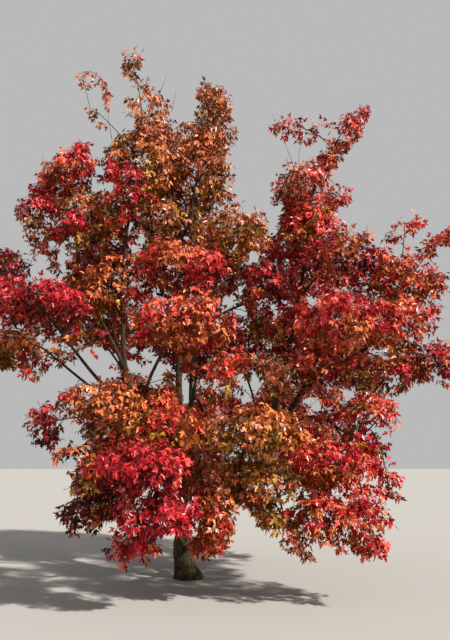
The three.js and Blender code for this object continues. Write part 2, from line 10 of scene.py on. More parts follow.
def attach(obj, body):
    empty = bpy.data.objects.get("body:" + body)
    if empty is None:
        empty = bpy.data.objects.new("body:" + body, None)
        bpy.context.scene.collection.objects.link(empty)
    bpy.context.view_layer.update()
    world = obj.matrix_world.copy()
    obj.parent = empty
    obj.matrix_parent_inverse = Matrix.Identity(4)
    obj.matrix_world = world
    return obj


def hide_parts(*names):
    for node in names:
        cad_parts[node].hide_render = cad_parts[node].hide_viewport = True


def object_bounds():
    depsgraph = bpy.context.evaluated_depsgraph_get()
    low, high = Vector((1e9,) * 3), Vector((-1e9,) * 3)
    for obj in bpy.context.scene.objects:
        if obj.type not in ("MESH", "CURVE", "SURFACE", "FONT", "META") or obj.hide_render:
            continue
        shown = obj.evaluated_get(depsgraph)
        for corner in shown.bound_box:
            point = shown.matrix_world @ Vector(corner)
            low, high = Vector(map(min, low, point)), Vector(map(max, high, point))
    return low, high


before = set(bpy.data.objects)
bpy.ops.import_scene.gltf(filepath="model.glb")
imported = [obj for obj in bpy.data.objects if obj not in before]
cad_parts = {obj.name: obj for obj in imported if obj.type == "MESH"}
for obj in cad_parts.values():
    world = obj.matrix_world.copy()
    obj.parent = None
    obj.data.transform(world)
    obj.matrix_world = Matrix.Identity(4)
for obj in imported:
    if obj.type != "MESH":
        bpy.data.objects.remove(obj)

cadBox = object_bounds()
lowest, highest = (np.array(corner) for corner in cadBox)
upward = np.array([0.0, 0.0, 1.0])

view = dict(place=(0.451, -9.08, 1.6), tilt=math.radians(9.96), lens=40, sensor=36, frame=(450, 640))
focal = max(view["frame"]) * view["lens"] / view["sensor"]  # in pixels

trunk = dict(
    path=[(0.02, 0, -0.12), (0, 0, 0), (-0.045, 0, 0.19), (-0.07, 0.005, 0.37), (-0.07, 0.01, 0.54)],
    girth=(0.118, 0.106),
    flareShare=0.62, flareHeight=0.12, spurs=5, spurDepth=0.2,  # root spurs at the foot
    roundFrom=0.82, roundEnd=0.6,  # the top rounds over between the limbs
)
collar = dict(share=0.3, length=0.13)  # how a limb swells where it leaves its parent

# each limb leaves its parent at a share of the parent's length; then its radius at root and tip, and
# the points it runs through
limbs = [
    ("main_stem", "trunk", 0.86, (0.062, 0.017), [
        (-0.06, 0, 0.88), (-0.13, 0, 2), (-0.135, 0.03, 2.74), (-0.03, 0.12, 3.9), (0.01, 0.2, 4.85)]),
    ("right_limb", "trunk", 0.62, (0.064, 0.02), [
        (0.33, -0.02, 0.62), (0.615, -0.03, 1.01), (1.3, -0.04, 2.06), (1.56, -0.08, 2.44),
        (2.05, -0.25, 2.68)]),
    ("left_stem", "trunk", 0.8, (0.054, 0.016), [
        (-0.26, 0.04, 1.05), (-0.6, 0.06, 1.85), (-0.83, 0.04, 2.56), (-0.88, 0.04, 3.6),
        (-0.84, 0.06, 4.7)]),
    ("left_limb", "left_stem", 0.2, (0.036, 0.013), [
        (-0.7, -0.13, 1.9), (-1.25, -0.32, 2.55), (-1.64, -0.48, 3.06)]),
    ("low_left_limb", "left_limb", 0.36, (0.024, 0.011), [(-1.25, -0.18, 2.33), (-1.78, -0.32, 2.76)]),
    ("dome_limb", "left_stem", 0.52, (0.026, 0.012), [
        (-1.18, 0.01, 3.25), (-1.45, -0.02, 3.9), (-1.56, -0.02, 4.72)]),
    ("lean_limb", "left_stem", 0.3, (0.03, 0.013), [
        (-0.54, -0.16, 2.25), (-0.32, -0.42, 2.72), (-0.09, -0.64, 3.15)]),
    ("centre_limb", "main_stem", 0.12, (0.034, 0.014), [
        (0.04, 0.09, 1.45), (0.01, 0.13, 2.34), (0.08, 0.11, 2.95), (0.36, 0.02, 3.75)]),
    ("right_leader_stem", "right_limb", 0.5, (0.044, 0.015), [
        (1.08, 0.09, 2.05), (1.33, 0.18, 3), (1.52, 0.22, 4), (1.6, 0.25, 4.7)]),
    ("right_low_limb", "right_limb", 0.62, (0.028, 0.011), [(1.61, -0.27, 1.93), (1.88, -0.5, 1.74)]),
    ("front_left_limb", "main_stem", 0.07, (0.038, 0.014), [
        (-0.23, -0.48, 1.1), (-0.38, -1, 1.45), (-0.43, -1.35, 1.6)]),
    ("front_right_limb", "right_limb", 0.12, (0.04, 0.014), [
        (0.43, -0.42, 0.8), (0.72, -0.85, 1.18), (0.9, -1.25, 1.48)]),
    ("back_left_limb", "left_stem", 0.12, (0.04, 0.014), [
        (-0.42, 0.42, 1.35), (-0.85, 0.85, 2.1), (-1.15, 1.1, 3.2)]),
    ("back_limb", "main_stem", 0.2, (0.038, 0.014), [
        (-0.06, 0.48, 1.75), (0.02, 1, 2.4), (0.1, 1.35, 3.4)]),
    ("back_right_limb", "right_limb", 0.24, (0.042, 0.014), [
        (0.7, 0.38, 1.5), (1.15, 0.85, 2.3), (1.45, 1.1, 3.4)]),
]
limbs = [dict(zip(("name", "on", "share", "girth", "through"), row)) for row in limbs]

# each mass leaves a limb at a share of its length; then the tint that most of its leaves turn, and its
# lobes, each the middle, the half sizes and the lean in degrees of an ellipsoid of space
masses = [
    ("top_leader_leaves", "left_stem", 1, "copper", [
        ((-0.59, 0.15, 6.15), (0.36, 0.48, 0.44), 0), ((-0.85, 0.15, 6.87), (0.21, 0.22, 0.25), 0)]),
    ("left_leader_leaves", "left_stem", 0.94, "copper", [
        ((-0.61, 0.2, 5.37), (0.58, 0.75, 0.61), 0), ((-1.28, 0.05, 6.05), (0.14, 0.18, 0.37), -38)]),
    ("second_leader_leaves", "main_stem", 1, "copper", [
        ((0.18, 0.4, 5.48), (0.42, 0.62, 0.61), 0), ((0.3, 0.35, 6.32), (0.3, 0.38, 0.44), 0)]),
    ("leader_fork_leaves", "main_stem", 0.84, "olive", [((-0.38, 0.5, 4.6), (0.59, 0.69, 0.48), 0)]),
    ("middle_leaves", "centre_limb", 1, "copper", [((0.58, -0.32, 4.29), (0.49, 0.62, 0.38), 0)]),
    ("dome_top_leaves", "dome_limb", 1, "crimson", [((-1.6, 0, 5.24), (0.45, 0.62, 0.34), -32)]),
    ("dome_low_leaves", "dome_limb", 0.82, "rust", [
        ((-1.42, -0.25, 4.44), (0.39, 0.56, 0.41), 0), ((-2.01, 0.15, 4.64), (0.35, 0.56, 0.43), 0),
        ((-1.9, 0.1, 4.03), (0.23, 0.38, 0.21), 0)]),
    ("dome_right_leaves", "left_stem", 0.88, "wine", [((-0.86, -0.4, 4.74), (0.39, 0.5, 0.51), 0)]),
    ("left_shelf_leaves", "left_limb", 1, "crimson", [
        ((-1.83, -0.85, 3.29), (0.71, 0.75, 0.29), 0), ((-2.55, 0.4, 4.01), (0.33, 0.56, 0.25), 0)]),
    ("left_under_leaves", "low_left_limb", 1, "wine", [((-2.1, -0.4, 2.79), (0.52, 0.62, 0.28), 0)]),
    ("left_inner_leaves", "left_stem", 0.66, "rust", [((-1.25, 0.2, 3.66), (0.48, 0.62, 0.57), 0)]),
    ("low_left_leaves", "left_limb", 0.3, "crimson", [((-1.57, -1, 1.82), (0.25, 0.3, 0.3), 0)]),
    ("centre_upper_leaves", "lean_limb", 1, "crimson", [((-0.05, -1.25, 3.6), (0.6, 0.5, 0.37), 0)]),
    ("centre_lower_leaves", "lean_limb", 0.78, "scarlet", [((0, -1.48, 2.92), (0.61, 0.5, 0.36), 0)]),
    ("right_tip_leaves", "right_leader_stem", 1, "rose", [
        ((2.1, 0.3, 5.87), (0.23, 0.25, 0.6), 35), ((1.47, 0.35, 6.01), (0.4, 0.25, 0.21), 0)]),
    ("right_leader_leaves", "right_leader_stem", 0.9, "scarlet", [
        ((1.54, 0.25, 5.04), (0.47, 0.56, 0.5), 0), ((1.59, 0.1, 4.35), (0.51, 0.62, 0.35), 0),
        ((2.15, 0.25, 4.9), (0.2, 0.22, 0.17), 0)]),
    ("right_shoulder_leaves", "right_leader_stem", 0.62, "crimson", [
        ((1.92, -0.65, 3.85), (0.53, 0.62, 0.37), 0)]),
    ("right_outer_upper_leaves", "right_limb", 1, "scarlet", [
        ((2.61, -0.4, 3.58), (0.55, 0.69, 0.4), 0), ((2.75, -0.3, 4.34), (0.15, 0.22, 0.35), 62),
        ((3.19, -0.2, 4.18), (0.15, 0.22, 0.39), 58)]),
    ("right_outer_leaves", "right_limb", 0.95, "scarlet", [((2.36, -1.1, 2.98), (0.54, 0.55, 0.34), 0)]),
    ("right_edge_leaves", "right_limb", 0.89, "crimson", [((2.94, -0.9, 2.54), (0.3, 0.5, 0.3), 0)]),
    ("right_middle_leaves", "right_limb", 0.74, "scarlet", [((1.64, -1.48, 2.95), (0.52, 0.5, 0.37), 0)]),
    ("right_inner_leaves", "centre_limb", 0.75, "wine", [((1.06, -0.1, 3.46), (0.46, 0.62, 0.57), 0)]),
    ("right_under_leaves", "right_limb", 0.82, "rust", [
        ((2.29, -0.5, 2.47), (0.53, 0.62, 0.29), 0), ((1.56, -0.3, 2.52), (0.38, 0.41, 0.23), 0)]),
    ("centre_right_leaves", "right_limb", 0.42, "rust", [((0.67, -1.1, 2.33), (0.6, 0.5, 0.37), 0)]),
    ("front_orange_leaves", "front_right_limb", 1, "amber", [((0.77, -1.6, 1.77), (0.54, 0.5, 0.31), 0)]),
    ("right_droop_leaves", "right_low_limb", 1, "rust", [
        ((2.08, -0.9, 1.84), (0.35, 0.5, 0.43), 0), ((2.18, -1.3, 1.21), (0.2, 0.22, 0.2), 0)]),
    ("right_lower_leaves", "front_right_limb", 0.86, "crimson", [
        ((1.62, -1.4, 1.42), (0.51, 0.5, 0.28), 0), ((1.44, -1.6, 0.87), (0.33, 0.35, 0.3), 0)]),
    ("right_lowest_leaves", "right_low_limb", 0.8, "crimson", [
        ((1.92, -1.5, 0.77), (0.31, 0.4, 0.33), 0)]),
    ("front_olive_leaves", "front_right_limb", 0.74, "olive", [
        ((0.95, -1.3, 1.23), (0.47, 0.45, 0.3), 0), ((1.08, -1.45, 0.72), (0.41, 0.28, 0.19), 35)]),
    ("front_droop_leaves", "front_right_limb", 0.3, "rust", [
        ((0.15, -0.35, 1.36), (0.33, 0.41, 0.42), 0), ((0.35, -1.5, 0.9), (0.23, 0.3, 0.46), 0)]),
    ("left_orange_leaves", "front_left_limb", 1, "amber", [
        ((-0.78, -1.3, 2.06), (0.61, 0.5, 0.28), 0), ((-0.2, -1.6, 1.81), (0.48, 0.4, 0.29), 0),
        ((-0.33, -1, 2.29), (0.3, 0.3, 0.25), 0)]),
    ("left_crimson_leaves", "front_left_limb", 0.88, "crimson", [
        ((-0.38, -2, 1.41), (0.53, 0.45, 0.25), 0)]),
    ("left_crimson_low_leaves", "front_left_limb", 0.7, "crimson", [
        ((-0.18, -2, 0.98), (0.44, 0.45, 0.27), 0), ((-0.6, -1.8, 0.6), (0.16, 0.2, 0.14), 0),
        ((-0.33, -1.9, 0.64), (0.2, 0.22, 0.18), 0)]),
    # its wine tint is painted shade on the crown's lower left, away from the key
    ("left_dark_leaves", "front_left_limb", 0.52, "wine", [
        ((-0.95, -1.6, 1.04), (0.35, 0.4, 0.37), 0), ((-1.12, -1.5, 1.48), (0.26, 0.3, 0.2), 0)]),
    ("back_top_leaves", "main_stem", 0.93, "rust", [((-0.25, 1.05, 5.25), (0.56, 0.58, 0.56), 0)]),
    ("back_left_high_leaves", "back_left_limb", 1, "crimson", [
        ((-1.3, 1.15, 4.5), (0.71, 0.67, 0.67), 0)]),
    ("back_left_leaves", "back_left_limb", 0.8, "scarlet", [
        ((-1.8, 1.15, 3.5), (0.68, 0.72, 0.48), 0), ((-0.95, 1.75, 3.35), (0.52, 0.54, 0.54), 0)]),
    ("back_left_low_leaves", "back_left_limb", 0.5, "rust", [
        ((-1, 1.5, 1.85), (0.71, 0.72, 0.58), 0), ((-1.15, 1, 1.15), (0.51, 0.54, 0.42), 0)]),
    ("back_high_leaves", "back_limb", 1, "amber", [((0.35, 1.35, 4.35), (0.71, 0.67, 0.58), 0)]),
    ("back_leaves", "back_limb", 0.8, "crimson", [((0.15, 1.88, 3.15), (0.78, 0.67, 0.62), 0)]),
    ("back_low_leaves", "back_limb", 0.5, "scarlet", [
        ((0.15, 1.88, 1.95), (0.74, 0.67, 0.5), 0), ((0.15, 1.7, 1.15), (0.59, 0.6, 0.42), 0)]),
    ("back_right_high_leaves", "back_right_limb", 1, "crimson", [
        ((1.4, 1.25, 4.3), (0.68, 0.67, 0.62), 0)]),
    ("back_right_leaves", "back_right_limb", 0.8, "scarlet", [
        ((2.05, 1.15, 3.25), (0.71, 0.74, 0.58), 0), ((1.25, 1.8, 3.25), (0.51, 0.54, 0.5), 0)]),
    ("back_right_low_leaves", "back_right_limb", 0.5, "rust", [
        ((1.5, 1.5, 2), (0.74, 0.72, 0.54), 0), ((1.55, 0.9, 1.35), (0.55, 0.58, 0.42), 0)]),
]
masses = [dict(zip(("name", "on", "share", "tint", "lobes"), row)) for row in masses]

# lines of sight through the crown: across and up at its front and at its back, and the radius
clearings = [
    ((-0.7, 2.44), (-1.48, 3.02), 0.15), ((-0.2, 2.33), (-0.64, 2.84), 0.11),
    ((0.08, 2.05), (-0.18, 2.37), 0.085), ((-1.28, 2.14), (-2.46, 2.51), 0.13),
    ((1.32, 1.98), (1.91, 2.24), 0.12), ((1.47, 1.94), (2.17, 2.17), 0.085),
    ((0.6, 2.91), (0.7, 3.8), 0.065), ((1.06, 3.4), (1.47, 4.62), 0.065),
    ((-0.86, 4.23), (-1.76, 6.03), 0.085), ((-0.38, 3.59), (-0.95, 4.95), 0.08),
    ((0.75, 3.42), (0.95, 4.66), 0.07), ((1.31, 3.02), (1.9, 3.99), 0.06),
    ((0.95, 3.71), (1.3, 5.14), 0.08), ((0.58, 4.44), (0.68, 6.38), 0.1),
]
clearingDepths = (-2.2, 2.5)
# and where the crown is open at these pixels of the photograph's frame: across, down and radius
openPatches = [
    (96, 151, 7), (95, 183, 6), (228, 303, 9), (252, 261, 5), (312, 301, 6), (141, 244, 5), (118, 274, 4),
    (280, 207, 7), (350, 207, 6), (43, 262, 10), (62, 247, 6), (258, 204, 7), (229, 160, 6), (131, 121, 6),
    (308, 400, 7), (48, 345, 5), (402, 253, 7), (441, 250, 8), (441, 334, 8), (134, 92, 6), (146, 104, 4),
    (155, 88, 5), (171, 262, 3), (205, 243, 3), (187, 291, 3), (352, 300, 4), (292, 345, 4), (372, 300, 3),
    (262, 335, 3), (212, 330, 3), (240, 290, 4), (66, 305, 3), (24, 322, 3), (330, 232, 4), (104, 114, 7),
    (113, 134, 7), (100, 170, 6), (109, 186, 6), (53, 147, 7), (66, 140, 7), (25, 193, 6), (234, 170, 7),
    (230, 186, 6), (248, 207, 7), (129, 228, 7), (140, 237, 7), (133, 248, 6), (39, 238, 7), (52, 245, 7),
    (70, 242, 7), (60, 256, 6), (273, 118, 6), (284, 137, 6), (323, 146, 6), (334, 133, 6), (399, 232, 7),
    (411, 241, 6), (438, 226, 6), (254, 257, 7), (265, 281, 4), (276, 263, 5), (284, 244, 5),
    (134, 350, 6), (146, 353, 6), (45, 350, 7), (53, 359, 6), (158, 380, 6), (396, 379, 6), (186, 240, 4),
    (86, 300, 4), (106, 316, 5), (222, 312, 6), (160, 214, 4), (415, 284, 5), (436, 318, 6), (300, 270, 4),
]

# small bunches between the masses, by the mass whose twigs they end: the pixel and the depth where
# they are seen, their half width and height in pixels, and how many sprays they have
tufts = dict(
    front_droop_leaves=[((199, 538), -1.3, (9, 17), 26)],
    front_orange_leaves=[((240, 466), -1.2, (13, 10), 22)],
    right_lower_leaves=[((337, 528), -1.5, (13, 17), 30), ((286, 514), -1.5, (14, 9), 18),
                        ((318, 478), -1.5, (14, 9), 14), ((350, 500), -1.5, (14, 12), 16)],
    right_lowest_leaves=[((362, 488), -1.4, (16, 7), 18), ((372, 505), -1.5, (12, 8), 14)],
    centre_lower_leaves=[((138, 292), -1.3, (12, 8), 26), ((187, 362), -1.2, (7, 9), 10)],
    left_orange_leaves=[((166, 396), -1.4, (11, 8), 18), ((127, 374), -0.8, (9, 6), 10)],
    second_leader_leaves=[((187, 128), 0.3, (11, 6), 16), ((235, 133), 0.35, (5, 6), 9),
                          ((228, 196), 0.4, (5, 9), 9)],
    left_dark_leaves=[((92, 497), -1.6, (15, 17), 34)],
    right_droop_leaves=[((338, 410), -0.5, (13, 9), 20), ((318, 421), -0.5, (14, 7), 16)],
    right_outer_leaves=[((441, 282), -0.9, (6, 8), 10), ((433, 308), -1.0, (6, 10), 12)],
    right_edge_leaves=[((411, 349), -0.9, (7, 6), 10)],
    front_olive_leaves=[((268, 492), -1.5, (14, 12), 20)],
    left_crimson_low_leaves=[((150, 505), -1.9, (9, 18), 18), ((128, 520), -1.9, (12, 12), 14)],
    left_crimson_leaves=[((110, 470), -1.8, (12, 14), 20), ((130, 452), -1.9, (16, 9), 16)],
    right_tip_leaves=[((279, 128), 0.35, (7, 11), 9), ((309, 127), 0.35, (12, 11), 10)],
    left_leader_leaves=[((83, 70), 0.05, (4, 4), 3), ((98, 77), 0.05, (6, 6), 4),
                        ((105, 91), 0.05, (5, 6), 4)],
    top_leader_leaves=[((134, 55), 0.15, (9, 6), 8)],
    centre_right_leaves=[((213, 345), -1.2, (12, 12), 16)],
    right_under_leaves=[((318, 392), -0.5, (16, 8), 16)],
    left_under_leaves=[((30, 372), -0.6, (14, 6), 10)],
)
tuftShape = dict(depth=0.14, spread=0.6, cut=1.7)


def pixelsOf(points):  # where points are seen in the photograph's frame
    x, y, z = (points - view["place"]).T
    ahead = y * math.cos(view["tilt"]) + z * math.sin(view["tilt"])
    above = z * math.cos(view["tilt"]) - y * math.sin(view["tilt"])
    width, height = view["frame"]
    return np.stack([width / 2 + focal * x / ahead, height / 2 - focal * above / ahead], 1)


def pointSeen(pixel, y):  # the point that is seen at a pixel, at a depth, and the metres to a pixel there
    width, height = view["frame"]
    gap = y - view["place"][1]
    rise = gap * math.tan(view["tilt"] + math.atan((height / 2 - pixel[1]) / focal))
    scale = (gap * math.cos(view["tilt"]) + rise * math.sin(view["tilt"])) / focal
    return np.array([view["place"][0] + (pixel[0] - width / 2) * scale, y, view["place"][2] + rise]), scale


# what is uneven, by how much, in how many waves to the metre, and a shift that sets it apart
noises = dict(
    rims=(0.9, 4.5, 7.7),  # of the clearings
    swells=(1, 1.9, 12.4), dips=(0.7, 4.6, 3.1), dents=(0.5, 9.5, 17.6),  # in the crown's outline
    clumps=(1, 2.6, 31.7),  # of sprays
    # light: patches in how lit sprays count, for the painted light and shade of the leaf tints
    light=(1.2, 1.7, 60.2), mixing=(0.5, 3.5, 21.9), patches=(0.7, 2.3, 88.1), flecks=(0.5, 7, 41.3),
    furrows=(0.011, 34, 5.5), cracks=(0.003, 110, 9.1),  # in the trunk's bark, in metres
)


def hilly(points, *kinds):
    height = np.zeros(len(points))
    for kind in kinds:
        strength, scale, shift = noises[kind]
        height += strength * np.array([noise.noise(Vector(point * scale + shift)) for point in points])
    return height


def unit(v):
    v = np.asarray(v, float)
    return v / np.maximum(np.linalg.norm(v, axis=-1, keepdims=True), 1e-9)


def lengthOf(line):
    return float(np.linalg.norm(np.diff(line, axis=0), axis=1).sum())


def alongOf(line):  # how far along the line each of its points is
    return np.concatenate([[0], np.cumsum(np.linalg.norm(np.diff(line, axis=0), axis=1))])


def placesOn(line, distances):
    along = alongOf(line)
    return np.stack([np.interp(distances, along, line[:, axis]) for axis in range(3)], 1)


def evenly(points, samples):  # the same line with its points evenly spaced
    line = np.asarray(points, float)
    return placesOn(line, np.linspace(0, alongOf(line)[-1], samples + 1))


def curveThrough(points, samples=200, perRun=60):  # a centripetal Catmull-Rom curve
    p = np.array(points, float)
    p = np.vstack([2 * p[0] - p[1], p, 2 * p[-1] - p[-2]])
    gaps = np.linalg.norm(np.diff(p, axis=0), axis=1) ** 0.5
    t = np.linspace(0, 1, perRun, endpoint=False)[:, None]
    runs = []
    for i in range(1, len(p) - 2):
        before, start, end, after = p[i - 1:i + 3]
        a, b, c = gaps[i - 1:i + 2]
        leaving = ((start - before) / a - (end - before) / (a + b) + (end - start) / b) * b
        arriving = ((end - start) / b - (after - start) / (b + c) + (after - end) / c) * b
        bend = -3 * start + 3 * end - 2 * leaving - arriving
        twist = 2 * start - 2 * end + leaving + arriving
        runs.append(start + leaving * t + bend * t ** 2 + twist * t ** 3)
    return evenly(np.vstack(runs + [p[-2:-1]]), samples)


def bezier(start, control, end, samples):
    t = np.linspace(0, 1, samples + 1)[:, None]
    return start * (1 - t) ** 2 + 2 * control * t * (1 - t) + end * t ** 2


def pointAt(line, share):
    place = share * (len(line) - 1)
    index = min(int(place), len(line) - 2)
    return line[index] + (line[index + 1] - line[index]) * (place - index)


def wayAt(line, share):
    index = min(int(share * (len(line) - 1)), len(line) - 2)
    return unit(line[index + 1] - line[index])


limbLines = {"trunk": curveThrough(trunk["path"])}
limbGirths = {"trunk": trunk["girth"]}
for row in limbs:
    root = pointAt(limbLines[row["on"]], row["share"])
    limbLines[row["name"]] = curveThrough([root] + row["through"])
    limbGirths[row["name"]] = row["girth"]


def girthAlong(name, shares):  # a limb's radius, with the swelling at its root
    thick, thin = limbGirths[name]
    swelling = 1 + collar["share"] * np.exp(-shares * lengthOf(limbLines[name]) / collar["length"])
    return (thick + (thin - thick) * shares) * swelling


# lobes as arrays, so that many points are tested at once
lobeRows = [(index, *lobe) for index, row in enumerate(masses) for lobe in row["lobes"]]
lobeMass, lobeAt, lobeHalf, lobeLean = (np.array(column) for column in zip(*lobeRows))
lobeLean = np.radians(lobeLean)


def turned(v, angle):  # about +Y
    c, s = np.cos(angle), np.sin(angle)
    return np.stack([v[..., 0] * c + v[..., 2] * s, v[..., 1], v[..., 2] * c - v[..., 0] * s], -1)


def depthIn(lobe, points, room=0):  # 0 in the middle of a lobe and 1 on its outside, less the room given
    inside = turned(points - lobeAt[lobe], -lobeLean[lobe])
    return np.linalg.norm(inside / (lobeHalf[lobe] - room), axis=-1)


def pointIn(lobe, ways, depths):
    return turned(ways * lobeHalf[lobe] * np.reshape(depths, (-1, 1)), lobeLean[lobe]) + lobeAt[lobe]


def inClearing(points, share=1.0):  # a share of its radius, more or less, so that its rim is ragged
    inside = np.zeros(len(points), bool)
    ragged = share * (1 + hilly(points, "rims"))
    for front, back, radius in clearings:
        start, end = (np.array([x, y, z]) for (x, z), y in zip((front, back), clearingDepths))
        run = end - start
        along = np.clip((points - start) @ run / (run @ run), 0, 1)
        inside |= np.linalg.norm(points - start - along[:, None] * run, axis=1) < radius * ragged
    seen = pixelsOf(points)
    for across, down, radius in openPatches:
        inside |= np.hypot(seen[:, 0] - across, seen[:, 1] - down) < radius * ragged
    return inside


def fieldAt(depths):  # 1 on the crown's outside, creases between lobes filled, and more inside
    return np.exp(-growth["fill"] * (depths ** 2 - 1)).sum(1)


def allDepths(points):
    return np.stack([depthIn(lobe, points, growth["room"]) for lobe in range(len(lobeRows))], 1)


def belongs(mass, points):  # inside the crown, deepest in this mass and out of the clearings
    depths = allDepths(points)
    own = depths[:, lobeMass == mass].min(1)
    others = depths[:, lobeMass != mass].min(1)
    rougher = 1 + growth["backRougher"] * np.clip(points[:, 1] - growth["backFrom"], 0, 1)
    outline = 1 - growth["uneven"] * rougher * hilly(points, "swells", "dips", "dents")
    return (fieldAt(depths) > outline) & (own < others) & ~inClearing(points)


# the source's rule for stems and first twigs
stemRule = dict(tip=0.014, along=0.4, turn=1.5, branch=0.7, reach=0.35, samples=24,
                bows=[0, 0.12, -0.12, 0.24, -0.24, 0.36, -0.36])
twigRule = dict(goal=0.95, length=0.065, least=4, most=11)
seeds = dict(masses=11, step=97, limbs=900, tints=5000, leaves=77)


def seeded(state, factor=1664525, addend=1013904223, modulus=2 ** 32):  # numbers from 0 to 1
    while True:
        state = (state * factor + addend) % modulus
        yield state / modulus


def beyond(lobe, place, depth):  # straight on through the lobe's middle
    onward = unit(lobeAt[lobe] - place)
    return lobeAt[lobe] + onward * depth / depthIn(lobe, (lobeAt[lobe] + onward)[None])[0]


def nearLimb(line, leftOut):  # whether a stem's line runs into a limb that it doesn't leave
    some = slice(None, None, 4)  # every fourth point of a limb is close enough
    for name, other in limbLines.items():
        if name == leftOut:
            continue
        gaps = np.linalg.norm(line[:, None] - other[None, some], axis=2)
        girths = girthAlong(name, np.linspace(0, 1, len(other))[some])
        if (gaps - girths).min() < stemRule["tip"]:
            return True
    return False


def stemLine(lobe, start, way, leftOut):
    end = beyond(lobe, start, stemRule["reach"])
    distance = np.linalg.norm(end - start)
    sideways = unit(np.cross(end - start, upward))
    for bow in stemRule["bows"]:
        bend = start + (stemRule["along"] * way + bow * sideways) * distance
        line = evenly(bezier(start, bend, end, stemRule["samples"]), stemRule["samples"])
        if not nearLimb(line, leftOut):
            break
    return line


def massStems(mass):  # one line for each lobe: the first from its limb, the rest from that one
    row = masses[mass]
    limbLine = limbLines[row["on"]]
    lines = []
    for lobe in np.flatnonzero(lobeMass == mass):
        line, share = (limbLine, row["share"]) if not lines else (lines[0], stemRule["branch"])
        start, way = pointAt(line, share), wayAt(line, share)
        if lines or share < 1:
            way = unit(way + stemRule["turn"] * unit(lobeAt[lobe] - start))
        lines.append(stemLine(lobe, start, way, row["on"]))
    return lines


def firstGoals(mass, stems, random):  # the source's twigs: straight on, then spread evenly over the lobe
    goldenTurn = math.pi * (3 - math.sqrt(5))
    goals = []
    for lobe, line in zip(np.flatnonzero(lobeMass == mass), stems):
        size = np.cbrt(lobeHalf[lobe].prod())
        count = round(float(np.clip(size / twigRule["length"], twigRule["least"], twigRule["most"])))
        phase = next(random) * 2 * math.pi
        turns = np.arange(count)
        heights = 1 - (2 * (turns + 0.5)) / count
        around = np.sqrt(1 - heights ** 2)
        angles = turns * goldenTurn + phase
        ways = np.stack([around * np.cos(angles), around * np.sin(angles), heights], 1)
        goals += [beyond(lobe, line[0], twigRule["goal"]), *pointIn(lobe, ways, twigRule["goal"])]
        for _ in range(count + 1):
            next(random)
    return np.array(goals)


# Finer growth: each new twig leaves the wood that is already there, nearest to its goal.
growth = dict(
    spraysPerArea=430, fewest=6,  # candidates for each square metre of a lobe's outside, and at least
    inner=0.4, crowding=4,  # none deeper than this share of a lobe, and more towards its outside
    room=0.04,  # between the outermost twig tips and a lobe's outside, for the leaves
    fill=2.2, farthest=1.25,  # how readily the creases between lobes fill, and how far out
    uneven=0.5, backRougher=0.9, backFrom=0.4,  # how far the outline swells and dips, more so at the back
    gaps=-0.2, lowest=0.12,  # sprays keep out of the hollows between clumps, and off the ground
    shortest=0.04, mostSteps=40,  # of a twig
    sharpness=0.7, outOfReach=9,  # how much a twig minds leaving at a wide angle, or a stem's bare part
    turn=1.1, middle=0.5, segment=0.125, wander=0.05, arch=0.1,
    tip=0.0015, thickening=0.42,  # radius at a tip, and how it grows with the tips it carries
    sideStem=0.8,  # a stem's most girth where it leaves a limb's side, as a share of the limb's
)
sparse = dict(  # the share of sprays in a mass's lobes: between fewer, bare twigs show
    top_leader_leaves=[0.65, 0.5], left_leader_leaves=[1, 0.25], right_tip_leaves=[1.4, 0.5],
    right_leader_leaves=[1.2, 1, 0.9], right_outer_upper_leaves=[1, 0.9, 1.1],
    right_droop_leaves=[1, 0.5], dome_right_leaves=[0.85], right_inner_leaves=[0.75],
    left_inner_leaves=[0.7], dome_low_leaves=[0.85, 0.85, 0.4], leader_fork_leaves=[0.9],
    front_droop_leaves=[1, 1.5], front_olive_leaves=[1, 1.5], right_lower_leaves=[1, 1.3],
)
limbTwigs = dict(start=0.22, perMetre=34, near=0.06, far=0.5, onward=0.12, samples=30)  # along the limbs
stemTwigs = dict(start=0.3, perMetre=14, near=0.05, far=0.2, onward=0.12)  # and the stems
besideWood = dict(end=0.97, clearing=0.6, outside=1.6, lowest=0.3)  # what both keep to


def outsideArea(half):  # of an ellipsoid, near enough
    a, b, c = half
    p = 1.6075
    return 4 * math.pi * (((a * b) ** p + (a * c) ** p + (b * c) ** p) / 3) ** (1 / p)


def sprayGoals(mass, dice):
    found = []
    shares = dict(enumerate(sparse.get(masses[mass]["name"], [])))
    power = growth["crowding"]
    for index, lobe in enumerate(np.flatnonzero(lobeMass == mass)):
        wanted = growth["spraysPerArea"] * shares.get(index, 1) * outsideArea(lobeHalf[lobe])
        count = int(wanted) + growth["fewest"]
        ways = unit(dice.normal(size=(count, 3)))
        inner, outer = growth["inner"] ** power, growth["farthest"] ** power
        depths = (inner + dice.random(count) * (outer - inner)) ** (1 / power)
        spots = pointIn(lobe, ways, depths)
        found.append(spots[hilly(spots, "clumps") > growth["gaps"]])
    spots = np.vstack(found)
    spots = spots[belongs(mass, spots) & (spots[:, 2] > growth["lowest"])]
    return spots[dice.permutation(len(spots))]


